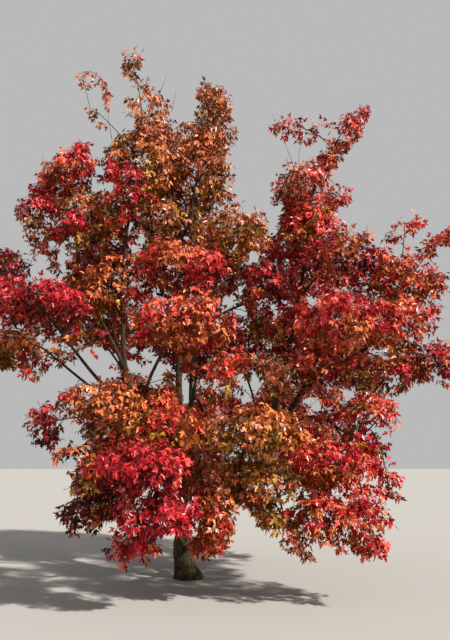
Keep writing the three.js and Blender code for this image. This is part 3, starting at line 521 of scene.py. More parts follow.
def growFrom(stems, goals, dice, thickest, branches=True):
    place = np.zeros((sum(map(len, stems)) + growth["mostSteps"] * len(goals), 3))
    way = np.zeros_like(place)
    parent = np.full(len(place), -1)
    tips = np.zeros(len(place), int)
    usable = np.zeros(len(place), bool)
    chains, count = [], 0
    for number, line in enumerate(stems):
        nodes = np.arange(count, count + len(line))
        place[nodes] = line
        way[nodes] = unit(np.gradient(line, axis=0))
        parent[nodes[1:]] = nodes[:-1]
        if number:
            parent[nodes[0]] = int(stemRule["branch"] * (len(line) - 1))
        tips[nodes[-1]] = 1
        usable[nodes[len(line) // 3 if branches else 0:]] = True  # a stem's first third stays bare
        chains.append((None, nodes))
        count += len(line)
    for goal in goals:
        gaps = goal - place[:count]
        distances = np.linalg.norm(gaps, axis=1)
        turns = 1 - np.einsum("ij,ij->i", gaps, way[:count]) / np.maximum(distances, 1e-6)
        cost = distances * (1 + growth["sharpness"] * turns)
        root = int((cost + np.where(usable[:count], 0, growth["outOfReach"])).argmin())
        distance = distances[root]
        if distance < growth["shortest"]:
            continue
        start = place[root]
        leaving = unit(way[root] + growth["turn"] * gaps[root] / distance)
        bend = start + leaving * growth["middle"] * distance + upward * growth["arch"] * distance
        bend += dice.normal(size=3) * growth["wander"] * distance
        steps = max(1, round(distance / growth["segment"]))
        line = bezier(start, bend, goal, steps)
        nodes = np.arange(count, count + steps)
        place[nodes] = line[1:]
        way[nodes] = unit(np.diff(line, axis=0))
        parent[nodes] = np.concatenate([[root], nodes[:-1]])
        tips[nodes[-1]] += 1
        usable[nodes] = True
        chains.append((root, nodes))
        count += steps
    for node in range(count - 1, 0, -1):
        if parent[node] >= 0:
            tips[parent[node]] += tips[node]
    girth = growth["tip"] * np.maximum(tips[:count], 1) ** growth["thickening"]
    return dict(place=place[:count], girth=np.minimum(girth, thickest), chains=chains, stems=len(stems))


def alongside(line, dice, rule):  # goals round a line, past its start
    count = int(rule["perMetre"] * lengthOf(line) * (1 - rule["start"]))
    shares = rule["start"] + dice.random(count) * (besideWood["end"] - rule["start"])
    index = (shares * (len(line) - 1)).astype(int)
    along = unit(line[index + 1] - line[index])
    aside = unit(np.cross(along, dice.normal(size=(count, 3))))
    out = dice.uniform(rule["near"], rule["far"], (count, 1))
    goals = line[index] + aside * out + along * rule["onward"] * dice.random((count, 1))
    near = (allDepths(goals).min(1) < besideWood["outside"]) & (goals[:, 2] > besideWood["lowest"])
    return goals[~inClearing(goals, besideWood["clearing"]) & near]


def growMass(mass):
    row = masses[mass]
    seed = seeds["masses"] + seeds["step"] * mass
    dice = np.random.default_rng(seed)
    stems = massStems(mass)
    goals = firstGoals(mass, stems, seeded(seed))
    goals = [goals[belongs(mass, goals)], sprayGoals(mass, dice)]
    for pixel, depth, half, count in tufts.get(row["name"], []):
        middle, scale = pointSeen(pixel, depth)
        spread = np.array([half[0] * scale, tuftShape["depth"], half[1] * scale]) * tuftShape["spread"]
        scatter = dice.normal(size=(count, 3)).clip(-tuftShape["cut"], tuftShape["cut"])
        goals.append(middle + scatter * spread)
    goals += [alongside(stem, dice, stemTwigs) for stem in stems[1:]]
    # a stem is no thicker than its limb is where the two meet
    thickest = girthAlong(row["on"], row["share"]) * (1 if row["share"] == 1 else growth["sideStem"])
    return growFrom(stems, np.vstack(goals), dice, thickest)


def growLimb(name, seed):  # leafy twigs on the limb itself, where it runs between the masses
    dice = np.random.default_rng(seed)
    line = limbLines[name]
    goals = alongside(line, dice, limbTwigs)
    line = evenly(line[int(limbTwigs["start"] * len(line)):], limbTwigs["samples"])
    return growFrom([line], goals, dice, limbGirths[name][1], branches=False)


grownMasses = [growMass(mass) for mass in range(len(masses))]
grownLimbs = [growLimb(row["name"], seeds["limbs"] + index) for index, row in enumerate(limbs)]
print("twigs:", sum(len(grown["chains"]) for grown in grownMasses + grownLimbs))


def twigLines(grown):  # each twig's points from its root on, and its girths past the root
    for root, nodes in grown["chains"][grown["stems"]:]:
        yield np.vstack([grown["place"][root], grown["place"][nodes]]), grown["girth"][nodes]


# A spray: opposite pairs of leaves along the end of a twig, each pair a quarter turn from the last.
spray = dict(
    spacing=0.0365, turnSpread=0.3,
    leafy=0.25, leafyShare=0.8,  # how much of a twig's end has leaves, in metres and at most as a share
    size=0.064, sizeSpread=0.25, widths=(0.82, 1.25), folds=(0.6, 1.5), reach=1.4,  # its tip, in sizes
    forward=0.55, droop=0.85, droopSpread=0.5, scatter=0.18, outward=0.8, skyward=0.5, loose=0.5,
    clearing=0.55, lowest=0.04, pastLow=0.08, pastHigh=0.12,  # what the tips keep to, in metres
)
sun = unit([0.75, -0.5, 0.72])
# The shaded tint goes to sprays that count as unlit: partly the duller turn of leaves out of the sun, partly
# painted shade.
turnsTo = dict(  # a mass's own tint, its neighbour, what its shaded leaves have and the odd one
    crimson="crimson scarlet wine rust",
    scarlet="scarlet rust rust crimson",
    rose="rose scarlet rust copper",
    wine="wine crimson olive scarlet",
    rust="rust scarlet olive crimson",
    copper="copper rust olive amber",
    amber="amber rust rust scarlet",
    olive="olive copper olive rust",
)
tintNames = list(turnsTo)
oddTints = dict(  # the lobes of a mass that turn otherwise; an empty one turns as its mass does
    left_under_leaves=["rust crimson olive amber"],
    left_inner_leaves=["rust wine olive rust"],
    dome_low_leaves=["rust olive olive crimson", "crimson scarlet rust olive"],
    dome_top_leaves=["crimson scarlet rust scarlet"],
    left_shelf_leaves=["crimson crimson wine scarlet"],
    left_dark_leaves=["wine rust wine olive", "wine rust wine crimson"],
    left_crimson_leaves=["crimson crimson wine scarlet"],
    left_crimson_low_leaves=["crimson crimson crimson wine", "", "crimson crimson crimson rust"],
    centre_upper_leaves=["scarlet crimson wine rust"],
    front_olive_leaves=["olive rust olive amber", "rust olive rust scarlet"],
    front_orange_leaves=["amber rust olive copper"],
    front_droop_leaves=["rust copper rust scarlet", "copper rust rust scarlet"],
    left_orange_leaves=["", "rust amber olive scarlet"],
    centre_right_leaves=["rust scarlet olive copper"],
    right_leader_leaves=["rose scarlet rust copper", "scarlet crimson rust olive"],
    right_lower_leaves=["crimson scarlet rust rust", "scarlet crimson rust rust"],
    right_lowest_leaves=["crimson scarlet rust rust"],
    right_droop_leaves=["", "crimson scarlet rust crimson"],
    right_tip_leaves=["scarlet rose rust crimson", "rose scarlet rust crimson"],
)
tinting = dict(
    skyward=0.5, sunward=0.5, outer=1.3, outerFrom=0.8, litSpread=0.3,  # how lit a spray counts as, for painted light and shade: facing up, facing the key, near a lobe's outside
    mixTurn=2.4, mixSpread=0.06,  # how the tints of neighbouring masses run into each other
    patchSpread=0.12, ownFrom=0.05, nearFrom=0.17, otherBelow=-0.24,
    bright=0.3, paintedLightShare=0.4, paintedLightFrom=0.2, swapped=0.16,  # shares of light-tone leaves: a random share, more on sprays that count as lit as painted light, and a random swap
)


def tintsOf(lobe):
    row = masses[lobeMass[lobe]]
    index = lobe - int(np.argmax(lobeMass == lobeMass[lobe]))
    odd = dict(enumerate(oddTints.get(row["name"], []))).get(index)
    return [tintNames.index(tint) for tint in (odd or turnsTo[row["tint"]]).split()]


tintTable = np.array([tintsOf(lobe) for lobe in range(len(lobeRows))])


def tintSprays(spots, dice):  # by where a spray is in the crown, by patches, and by painted light and shade
    depths = allDepths(spots)
    nearest = depths.argmin(1)
    inside = turned(spots - lobeAt[nearest], -lobeLean[nearest])
    outward = unit(turned(inside / lobeHalf[nearest] ** 2, lobeLean[nearest]))
    lit = tinting["skyward"] * outward[:, 2] + tinting["sunward"] * outward @ sun
    lit = lit + tinting["outer"] * (depths.min(1) - tinting["outerFrom"])
    lit += hilly(spots, "light") + dice.normal(size=len(spots)) * tinting["litSpread"]
    waves = np.cos(np.arange(len(lobeRows)) * tinting["mixTurn"])
    mixed = depths + hilly(spots, "mixing")[:, None] * waves
    mixed += dice.normal(size=depths.shape) * tinting["mixSpread"]
    own, near, shaded, other = tintTable[mixed.argmin(1)].T
    patches = hilly(spots, "patches", "flecks") + dice.normal(size=len(spots)) * tinting["patchSpread"]
    # painted shade: sprays that count as unlit take the shaded tint, lit ones their own
    tints = np.where(lit > tinting["ownFrom"], own, shaded)
    tints = np.where(patches > tinting["nearFrom"], near, tints)
    tints = np.where(patches < tinting["otherBelow"], other, tints)
    share = tinting["bright"] + tinting["paintedLightShare"] * (lit > tinting["paintedLightFrom"])
    return outward, tints, dice.random(len(spots)) < share


def dress(grown, seed):
    dice = np.random.default_rng(seed)
    starts, ways, sides, sprays, spots = [], [], [], [], []
    for line, _ in twigLines(grown):
        along = alongOf(line)
        leafy = min(spray["leafy"], along[-1] * spray["leafyShare"])
        stations = along[-1] - np.arange(0, leafy, spray["spacing"])
        places = placesOn(line, stations)
        runs = np.searchsorted(along, stations, side="left").clip(1, len(line) - 1)
        onward = unit(line[runs] - line[runs - 1])
        angles = dice.random() * 2 * math.pi + np.arange(len(stations)) * math.pi / 2
        reference = unit(np.cross(onward, dice.normal(size=3)))
        angles = angles + dice.normal(size=len(stations)) * spray["turnSpread"]
        across = np.cross(onward, reference)
        side = reference * np.cos(angles)[:, None] + across * np.sin(angles)[:, None]
        starts += [places, places]
        ways += [onward, onward]
        sides += [side, -side]
        sprays += [np.full(2 * len(stations), len(spots))]
        spots.append(line[-1])
    # the light-tone copy, partly painted light, goes by spray; a share of leaves swap at random
    outward, tints, bright = tintSprays(np.array(spots), dice)
    sprays = np.concatenate(sprays)
    bright = bright[sprays] ^ (dice.random(len(sprays)) < tinting["swapped"])
    return dict(start=np.vstack(starts), way=np.vstack(ways), side=np.vstack(sides),
                outward=outward[sprays], tint=tints[sprays], bright=bright)


dressed = [dress(grown, seeds["tints"] + index) for index, grown in enumerate(grownMasses + grownLimbs)
           if len(grown["chains"]) > grown["stems"]]
leaves = {key: np.concatenate([part[key] for part in dressed]) for key in dressed[0]}
dice = np.random.default_rng(seeds["leaves"])
total = len(leaves["start"])
stalk = unit(leaves["way"] * spray["forward"] + leaves["side"])
droop = spray["droop"] + spray["droopSpread"] * dice.uniform(-1, 1, total)
along = unit(stalk - upward * droop[:, None] + dice.normal(size=(total, 3)) * spray["scatter"])
facing = leaves["outward"] * spray["outward"] + upward * spray["skyward"]
facing = facing + dice.normal(size=(total, 3)) * spray["loose"]
across = unit(np.cross(along, facing))
face = np.cross(across, along)
size = spray["size"] * (1 + spray["sizeSpread"] * dice.uniform(-1, 1, total))
tipPlace = leaves["start"] + along * (spray["reach"] * size)[:, None]
kept = ~inClearing(tipPlace, spray["clearing"]) & (tipPlace[:, 2] > spray["lowest"])
kept &= (tipPlace > lowest - spray["pastLow"]).all(1) & (tipPlace < highest + spray["pastHigh"]).all(1)
turn = np.stack([np.arctan2(along[:, 2], face[:, 2]), -np.arcsin(np.clip(across[:, 2], -1, 1)),
                 np.arctan2(across[:, 1], across[:, 0])], 1)
stretch = [dice.uniform(*spray["widths"], total), np.ones(total), dice.uniform(*spray["folds"], total)]
stretch = np.stack(stretch, 1) * size[:, None]
print("leaves:", int(kept.sum()))


def linear(rgb):  # from the 0 to 255 that a colour picker shows
    scaled = [c / 255 for c in rgb]
    return [c / 12.92 if c <= 0.04045 else ((c + 0.055) / 1.055) ** 2.4 for c in scaled] + [1]


def plainFinish(name, rgb, roughness, gloss):
    material = bpy.data.materials.new(name)
    material.use_nodes = True
    shader = material.node_tree.nodes["Principled BSDF"]
    shader.inputs["Base Color"].default_value = linear(rgb)
    shader.inputs["Roughness"].default_value = roughness
    shader.inputs["Specular IOR Level"].default_value = gloss
    return material


def newNode(tree, kind, inputs=None, **settings):  # with a value or another node's socket for each input
    node = tree.nodes.new(kind)
    for name, value in settings.items():
        setattr(node, name, value)
    for socket, value in (inputs or {}).items():
        if isinstance(value, bpy.types.NodeSocket):
            tree.links.new(value, node.inputs[socket])
        else:
            node.inputs[socket].default_value = value
    return node


def chained(tree, *nodes):  # the shape goes through them one after the other
    for before, after in zip(nodes, nodes[1:]):
        tree.links.new(before.outputs[0], after.inputs[0])


def maths(tree, operation, first, second):
    return newNode(tree, "ShaderNodeMath", {0: first, 1: second}, operation=operation).outputs["Value"]


def scaled(tree, vector, scale):
    node = newNode(tree, "ShaderNodeVectorMath", {0: vector, "Scale": scale}, operation="SCALE")
    return node.outputs["Vector"]


def attributeOf(tree, name, kind):
    node = newNode(tree, "GeometryNodeInputNamedAttribute", {"Name": name}, data_type=kind)
    return node.outputs["Attribute"]


def newTree(name, **inputs):
    tree = bpy.data.node_groups.new(name, "GeometryNodeTree")
    tree.interface.new_socket("Geometry", in_out="INPUT", socket_type="NodeSocketGeometry")
    for label, kind in inputs.items():
        tree.interface.new_socket(label, in_out="INPUT", socket_type="NodeSocket" + kind)
    tree.interface.new_socket("Geometry", in_out="OUTPUT", socket_type="NodeSocketGeometry")
    return tree, tree.nodes.new("NodeGroupInput"), tree.nodes.new("NodeGroupOutput")


def grow(source, tree, values, name):  # the tree's result as a plain mesh object at the origin
    modifier = source.modifiers.new(tree.name, "NODES")
    modifier.node_group = tree
    for item in tree.interface.items_tree:
        if item.item_type == "SOCKET" and item.in_out == "INPUT" and item.name in values:
            modifier[item.identifier] = values[item.name]
    graph = bpy.context.evaluated_depsgraph_get()
    mesh = bpy.data.meshes.new_from_object(source.evaluated_get(graph), preserve_all_data_layers=True,
                                           depsgraph=graph)
    bpy.data.objects.remove(source)
    mesh.name = name
    for spent in ("turn", "stretch", "bright", "girth", "run"):
        if spent in mesh.attributes:
            mesh.attributes.remove(mesh.attributes[spent])
    made = bpy.data.objects.new(name, mesh)
    bpy.context.scene.collection.objects.link(made)
    return made


def meshObject(name, points, edges=(), faces=(), **attributes):
    mesh = bpy.data.meshes.new(name)
    mesh.from_pydata(np.asarray(points).tolist(), np.asarray(edges).tolist(), faces)
    for label, values in attributes.items():
        values = np.asarray(values)
        kind = "FLOAT_VECTOR" if values.ndim == 2 else "BOOLEAN" if values.dtype == bool else "FLOAT"
        attribute = mesh.attributes.new(label, kind, "POINT")
        attribute.data.foreach_set("vector" if values.ndim == 2 else "value", values.ravel())
    made = bpy.data.objects.new(name, mesh)
    bpy.context.scene.collection.objects.link(made)
    return made


def triangles(piece):
    piece.data.calc_loop_triangles()
    return len(piece.data.loop_triangles)


# one leaf on its stalk: a blade about 1 long with three lobes, folded up a little along the midrib
def leafPattern():
    half = [(0.22, 0.47, 0.03), (0.45, 0.82, 0), (0.14, 0.76, 0.04), (0.19, 1.02, 0.03)]
    stalk, thin, tip = 0.4, 0.018, (0, 1.42, -0.12)
    points = [(0, 0, 0), (thin, stalk, 0), (-thin, stalk, 0), (0, stalk, 0), tip]
    points += half + [(-x, y, z) for x, y, z in half]
    faces = [(0, 1, 2)]
    for first in (5, 9):
        low, side, notch, shoulder = range(first, first + 4)
        for face in [(3, low, side), (3, side, notch), (3, notch, 4), (notch, shoulder, 4)]:
            faces.append(face if first == 5 else face[::-1])
    return meshObject("leafPattern", points, faces=faces)


def leafTree():
    tree, given, result = newTree("leaf sprays", Leaf="Object", Deep="Material", Bright="Material")
    leaf = newNode(tree, "GeometryNodeObjectInfo", {"Object": given.outputs["Leaf"]})
    turn = newNode(tree, "FunctionNodeEulerToRotation", {"Euler": attributeOf(tree, "turn", "FLOAT_VECTOR")})
    placed = newNode(tree, "GeometryNodeInstanceOnPoints", {
        "Instance": leaf.outputs["Geometry"], "Rotation": turn.outputs["Rotation"],
        "Scale": attributeOf(tree, "stretch", "FLOAT_VECTOR")})
    realize = newNode(tree, "GeometryNodeRealizeInstances")
    # every leaf takes the dark-tone copy, in part painted shade, and leaves marked lit or picked at random
    # take the light-tone copy, in part painted light
    darkToneAndPaintedShade = newNode(tree, "GeometryNodeSetMaterial", {"Material": given.outputs["Deep"]})
    bright = newNode(tree, "GeometryNodeSetMaterial", {
        "Material": given.outputs["Bright"], "Selection": attributeOf(tree, "bright", "BOOLEAN")})
    chained(tree, given, placed, realize, darkToneAndPaintedShade, bright, result)
    return tree


leafColours = dict(  # dark tone and light tone of each tint: painted shade and painted light, partly random tone
    crimson=((144, 10, 20), (194, 29, 42)),
    scarlet=((150, 28, 18), (226, 76, 58)),
    rose=((160, 50, 42), (230, 118, 106)),
    wine=((74, 14, 12), (132, 30, 28)),
    rust=((124, 50, 10), (202, 104, 52)),
    copper=((126, 64, 24), (206, 131, 102)),
    amber=((138, 66, 12), (211, 122, 62)),
    olive=((98, 62, 4), (180, 122, 36)),
)
leafGloss = dict(darkToneAndPaintedShade=(0.55, 0.15), bright=(0.38, 0.55))  # roughness and gloss
mostTriangles = 190000  # in one piece

pattern = leafPattern()
leafGrowth = leafTree()
for index, tint in enumerate(tintNames):
    chosen = np.flatnonzero(kept & (leaves["tint"] == index))
    chosen = chosen[np.argsort(leaves["start"][chosen, 2], kind="stable")]
    parts = max(1, math.ceil(len(chosen) * len(pattern.data.polygons) / mostTriangles))
    nodes = [row["name"] for row in masses if row["tint"] == tint]
    # each tint's dark-tone and light-tone finishes: painted shade and painted light, partly random tone
    darkToneAndPaintedShade, bright = (plainFinish(f"{tint} leaf, {kind}", rgb, *leafGloss[kind])
                    for kind, rgb in zip(("darkToneAndPaintedShade", "bright"), leafColours[tint]))
    for part, some in enumerate(np.array_split(chosen, parts)):
        name = f"{tint}Leaves" if parts == 1 else f"{tint}Leaves{part + 1}"
        source = meshObject(name + "Places", leaves["start"][some], turn=turn[some], stretch=stretch[some],
                            bright=leaves["bright"][some])
        piece = grow(source, leafGrowth, {"Leaf": pattern, "Deep": darkToneAndPaintedShade, "Bright": bright}, name)
        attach(piece, "root")
        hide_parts(*nodes)
        print(name, triangles(piece), "triangles")
bpy.data.objects.remove(pattern)


# Wood: closed sweeps along its lines, thinner from fork to fork.
def furrowedSkin(tree, given, profile, girth):  # pushed in and out in long furrows
    capture = newNode(tree, "GeometryNodeCaptureAttribute")
    capture.capture_items.new("VECTOR", "Place")
    place = newNode(tree, "GeometryNodeInputPosition").outputs["Position"]
    tree.links.new(place, capture.inputs["Place"])
    tree.links.new(profile.outputs["Curve"], capture.inputs["Geometry"])
    # where a point is round and along its limb, in metres, squeezed along it so that furrows run long
    around = scaled(tree, capture.outputs["Place"], girth)
    split = newNode(tree, "ShaderNodeSeparateXYZ", {"Vector": around})
    grain = newNode(tree, "ShaderNodeCombineXYZ", {
        "X": split.outputs["X"], "Y": split.outputs["Y"], "Z": attributeOf(tree, "run", "FLOAT")})
    grain = grain.outputs["Vector"]
    store = newNode(tree, "GeometryNodeStoreNamedAttribute", {"Name": "grain", "Value": grain},
                    data_type="FLOAT_VECTOR")
    furrows = newNode(tree, "ShaderNodeTexNoise", {
        "Vector": grain, "Scale": given.outputs["Grain"], "Detail": 3})
    depth = maths(tree, "SUBTRACT", furrows.outputs["Fac"], 0.5)
    depth = maths(tree, "MULTIPLY", depth, maths(tree, "MULTIPLY", girth, given.outputs["Relief"]))
    normal = newNode(tree, "GeometryNodeInputNormal").outputs["Normal"]
    push = newNode(tree, "GeometryNodeSetPosition", {"Offset": scaled(tree, normal, depth)})
    return capture, store, push


def sweepTree(name, furrowed):
    more = dict(Relief="Float", Grain="Float") if furrowed else {}
    tree, given, result = newTree(name, Sides="Int", **more, Bark="Material")
    girth = attributeOf(tree, "girth", "FLOAT")
    profile = newNode(tree, "GeometryNodeCurvePrimitiveCircle", {
        "Resolution": given.outputs["Sides"], "Radius": 1})
    shape, *skin = furrowedSkin(tree, given, profile, girth) if furrowed else [profile]
    sweep = newNode(tree, "GeometryNodeCurveToMesh", {
        "Profile Curve": shape.outputs[0], "Scale": girth, "Fill Caps": True})
    curve, smooth, realize = (newNode(tree, kind) for kind in (
        "GeometryNodeMeshToCurve", "GeometryNodeSetShadeSmooth", "GeometryNodeRealizeInstances"))
    finish = newNode(tree, "GeometryNodeSetMaterial", {"Material": given.outputs["Bark"]})
    chained(tree, given, curve, sweep, *skin, smooth, realize, finish, result)
    return tree


def chainObject(name, lines, girths, **attributes):
    points = np.vstack(lines)
    ends = np.cumsum([len(line) for line in lines])
    edges = np.stack([np.arange(len(points) - 1), np.arange(1, len(points))], 1)
    edges = np.delete(edges, ends[:-1] - 1, axis=0)
    return meshObject(name, points, edges, girth=np.concatenate(girths), **attributes)


# Bark: furrowed grey-brown with pale plates and patches of yellow-green lichen.
bark = dict(
    furrow=(30, 22, 16), plate=(52, 41, 30), pale=(84, 74, 56), lichen=(98, 98, 46),
    grain=(85, 6, 0.65), grainFrom=(0.36, 0.5, 0.68),  # scale, detail, roughness, and where each tone starts
    lichenGrain=(60, 3, 0.6), lichenFrom=(0.35, 0.6),
    patchGrain=(9, 4, 0.6), patchFrom=(0.5, 0.62), patchMost=190,
    lichenTop=(1.4, 2.8),  # it fades between these heights, so it keeps to the foot and the main stem
    roughness=0.9, gloss=0.2, bump=0.5, bumpDepth=0.004,
)


def noiseAt(tree, vector, grain):
    scale, detail, roughness = grain
    inputs = {"Vector": vector, "Scale": scale, "Detail": detail, "Roughness": roughness}
    return newNode(tree, "ShaderNodeTexNoise", inputs).outputs["Fac"]


def ramp(tree, value, places, tones):
    node = newNode(tree, "ShaderNodeValToRGB", {"Fac": value})
    points = node.color_ramp.elements
    while len(points) < len(places):
        points.new(0.5)
    for point, place, tone in zip(points, places, tones):
        point.position = place
        point.color = linear(tone)
    return node.outputs["Color"]


def barkFinish():
    material = plainFinish("furrowed bark", bark["plate"], bark["roughness"], bark["gloss"])
    tree = material.node_tree
    shader = tree.nodes["Principled BSDF"]
    grain = newNode(tree, "ShaderNodeAttribute", attribute_name="grain").outputs["Vector"]
    place = newNode(tree, "ShaderNodeTexCoord").outputs["Object"]
    furrows = noiseAt(tree, grain, bark["grain"])
    plates = ramp(tree, furrows, bark["grainFrom"], (bark["furrow"], bark["plate"], bark["pale"]))
    flecks = noiseAt(tree, place, bark["lichenGrain"])
    lichen = ramp(tree, flecks, bark["lichenFrom"], (bark["plate"], bark["lichen"]))
    patches = noiseAt(tree, place, bark["patchGrain"])
    spread = ramp(tree, patches, bark["patchFrom"], ([0] * 3, [bark["patchMost"]] * 3))
    height = newNode(tree, "ShaderNodeSeparateXYZ", {"Vector": place}).outputs["Z"]
    low, high = bark["lichenTop"]
    fading = newNode(tree, "ShaderNodeMapRange", {
        "Value": height, "From Min": low, "From Max": high, "To Min": 1, "To Max": 0})
    lower = maths(tree, "MULTIPLY", spread, fading.outputs["Result"])
    colour = newNode(tree, "ShaderNodeMix", {"Factor": lower, 6: plates, 7: lichen}, data_type="RGBA")
    bump = newNode(tree, "ShaderNodeBump", {
        "Strength": bark["bump"], "Distance": bark["bumpDepth"], "Height": furrows})
    tree.links.new(colour.outputs[2], shader.inputs["Base Color"])
    tree.links.new(bump.outputs["Normal"], shader.inputs["Normal"])
    return material


bough = dict(
    sides=26, ring=0.034, stemSides=10, relief=0.16, grain=75.0, squeeze=0.22, apart=3.7, stemsFrom=90.0,
    forkBelow=0.9, forkLength=0.34, overlap=0.06, tuck=0.93,  # lower roots are part of the trunk's mesh
    seat=0.85, opens=0.7,  # a higher root starts thinner than the limb that it leaves, and opens from there
    free=0.85, freeEnd=0.45,  # an end that nothing continues thins out from this share of its length on
)
barkMaterial = barkFinish()
barkGrowth = sweepTree("bark sweep", True)
continued = [row["on"] for row in limbs + masses if row["share"] == 1]


def atFork(row):
    return row["on"] == "trunk" or pointAt(limbLines[row["on"]], row["share"])[2] < bough["forkBelow"]


def boughSweep(row):  # its middle line and its girths there
    line, name = limbLines[row["name"]], row["name"]
    rings = int(lengthOf(line) / bough["ring"])
    shares = np.linspace(0, 1, rings + 1)
    line, girth = evenly(line, rings), girthAlong(name, shares)
    fromRoot = shares * lengthOf(line)
    if name not in continued:  # nothing goes on from its end, so it thins out
        girth = girth * np.interp(shares, [bough["free"], 1], [1, bough["freeEnd"]])
    if atFork(row):
        keep = fromRoot >= bough["forkLength"]
        line, girth, fromRoot = line[keep], girth[keep], fromRoot[keep] - bough["forkLength"]
        return line, girth * np.interp(fromRoot, [0, bough["overlap"]], [bough["tuck"], 1])
    seat = bough["seat"] * girthAlong(row["on"], row["share"])  # its root stays inside the limb it leaves
    return line, np.minimum(girth, seat + bough["opens"] * fromRoot)


def barkSweeps(name, rods, sides, start):  # no two lines have the same stretch of bark
    lines, girths = zip(*rods)
    runs = [alongOf(line) * bough["squeeze"] + start + number * bough["apart"]
            for number, line in enumerate(lines)]
    source = chainObject(name + "Lines", lines, girths, run=np.concatenate(runs))
    values = {"Sides": sides, "Relief": bough["relief"], "Grain": bough["grain"], "Bark": barkMaterial}
    return grow(source, barkGrowth, values, name)


boughPiece = barkSweeps("boughs", [boughSweep(row) for row in limbs], bough["sides"], 0.0)
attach(boughPiece, "root")
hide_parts(*[row["name"] for row in limbs])
print("boughs", triangles(boughPiece), "triangles")

rods = [(grown["place"][nodes], grown["girth"][nodes])
        for grown in grownMasses for root, nodes in grown["chains"][:grown["stems"]]]
stemPiece = barkSweeps("stems", rods, bough["stemSides"], bough["stemsFrom"])
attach(stemPiece, "root")
print("stems", triangles(stemPiece), "triangles")

# thin twigs without leaves that stand out of the crown
bareTwigs = [
    [(0.67, -1.95, 1.56), (0.77, -2.05, 1.64), (0.88, -2.1, 1.67), (0.99, -2.1, 1.67)],
    [(-0.46, 0.15, 6.45), (-0.4, 0.15, 6.6), (-0.36, 0.15, 6.74)],
    [(-0.29, 0.15, 6.15), (-0.26, 0.15, 6.33), (-0.23, 0.15, 6.5)],
    [(-1.96, -0.1, 5.2), (-1.98, -0.1, 5.32), (-1.98, -0.1, 5.44)],
    [(-1.09, 0.05, 5.7), (-1.14, 0.05, 5.96), (-1.18, 0.05, 6.31)],
    [(1.46, 0.25, 5.2), (1.37, 0.3, 5.54), (1.31, 0.35, 5.74), (1.24, 0.35, 5.95), (1.17, 0.35, 6.1),
     (1.1, 0.35, 6.27)],
    [(1.5, 0.25, 5.2), (1.48, 0.3, 5.54), (1.51, 0.35, 5.74), (1.54, 0.35, 5.98)],
]
bareGirth, bareSamples = (0.005, 0.0015), 8
youngBark = dict(tones=((50, 30, 24), (104, 78, 62)), toneFrom=(0.42, 0.66), streaks=55,
                 roughness=0.6, gloss=0.3)
twigSides, upperFrom = 3, 3.1  # the twigs of the masses above this height are the upper piece


def youngBarkFinish():  # smooth red-brown with paler streaks
    material = plainFinish("twig bark", youngBark["tones"][0], youngBark["roughness"], youngBark["gloss"])
    tree = material.node_tree
    place = newNode(tree, "ShaderNodeTexCoord").outputs["Object"]
    streaks = newNode(tree, "ShaderNodeTexNoise", {"Vector": place, "Scale": youngBark["streaks"]})
    colour = ramp(tree, streaks.outputs["Fac"], youngBark["toneFrom"], youngBark["tones"])
    tree.links.new(colour, tree.nodes["Principled BSDF"].inputs["Base Color"])
    return material


rodGrowth = sweepTree("twig rods", False)
twigBark = youngBarkFinish()
twigSets = {"twigsLower": [], "twigsUpper": []}
for grown in grownMasses + grownLimbs:
    upper = np.median(grown["place"][:, 2]) > upperFrom
    rods = [(line, np.concatenate([girth[:1], girth])) for line, girth in twigLines(grown)]
    twigSets["twigsUpper" if upper else "twigsLower"] += rods
for points in bareTwigs:
    line = curveThrough(points, bareSamples)
    twigSets["twigsUpper"].append((line, np.linspace(*bareGirth, len(line))))
for name, rods in twigSets.items():
    source = chainObject(name + "Lines", *zip(*rods))
    piece = grow(source, rodGrowth, {"Sides": twigSides, "Bark": twigBark}, name)
    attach(piece, "root")
    print(name, triangles(piece), "triangles")


# Trunk and fork: tubes of the trunk and its limbs' roots grown into one skin, then furrowed.
fork = dict(voxel=0.007, smoothing=14, soften=0.5, sides=64, rings=60, limbSides=32, limbRings=24,
            above=0.1, fullRelief=0.1)  # wood of a smaller radius is furrowed less deeply


def ringTube(line, radiusAt, sides):  # a closed tube as points and faces
    ways = unit(np.gradient(line, axis=0))
    normal = unit(np.cross(ways[0], [0, 1, 0]))
    points = []
    for ring, way in enumerate(ways):
        normal = unit(normal - way * (normal @ way))
        side = np.cross(way, normal)
        angles = np.arange(sides) * 2 * math.pi / sides
        spokes = normal * np.cos(angles)[:, None] + side * np.sin(angles)[:, None]
        points.append(line[ring] + radiusAt(ring / (len(ways) - 1), angles)[:, None] * spokes)
    count = len(ways) * sides
    faces = []
    for ring in range(len(ways) - 1):
        for corner in range(sides):
            a, b = ring * sides + corner, ring * sides + (corner + 1) % sides
            faces.append((a, b, b + sides, a + sides))
    faces.append(tuple(range(sides))[::-1])
    faces.append(tuple(range(count - sides, count)))
    return np.vstack(points), faces


def trunkRadius(share, angles):
    height = max(pointAt(limbLines["trunk"], share)[2], 0)
    thick, thin = trunk["girth"]
    spread = trunk["flareShare"] * math.exp(-height / trunk["flareHeight"])
    spurs = 1 + trunk["spurDepth"] * np.cos(trunk["spurs"] * angles)
    over = min(max((share - trunk["roundFrom"]) / (1 - trunk["roundFrom"]), 0), 1)
    rounded = 1 + (trunk["roundEnd"] - 1) * over * over
    return (thick + (thin - thick) * share) * rounded * (1 + spread * spurs)


def rootTube(row):  # a limb's root, tucked into its sweep at the far end
    line = limbLines[row["name"]]
    length = bough["forkLength"] + bough["overlap"]
    share = length / lengthOf(line)
    line = evenly(line[:int(share * (len(line) - 1)) + 1], fork["limbRings"])
    length = lengthOf(line)

    def radius(part, angles):
        tuck = np.interp(part * length, [bough["forkLength"], length], [1, bough["tuck"]])
        return np.full(len(angles), girthAlong(row["name"], np.array(part * share)) * tuck)

    return ringTube(line, radius, fork["limbSides"])


def vertexValues(mesh, what):
    values = np.zeros(len(mesh.vertices) * 3)
    mesh.vertices.foreach_get(what, values)
    return values.reshape(-1, 3)


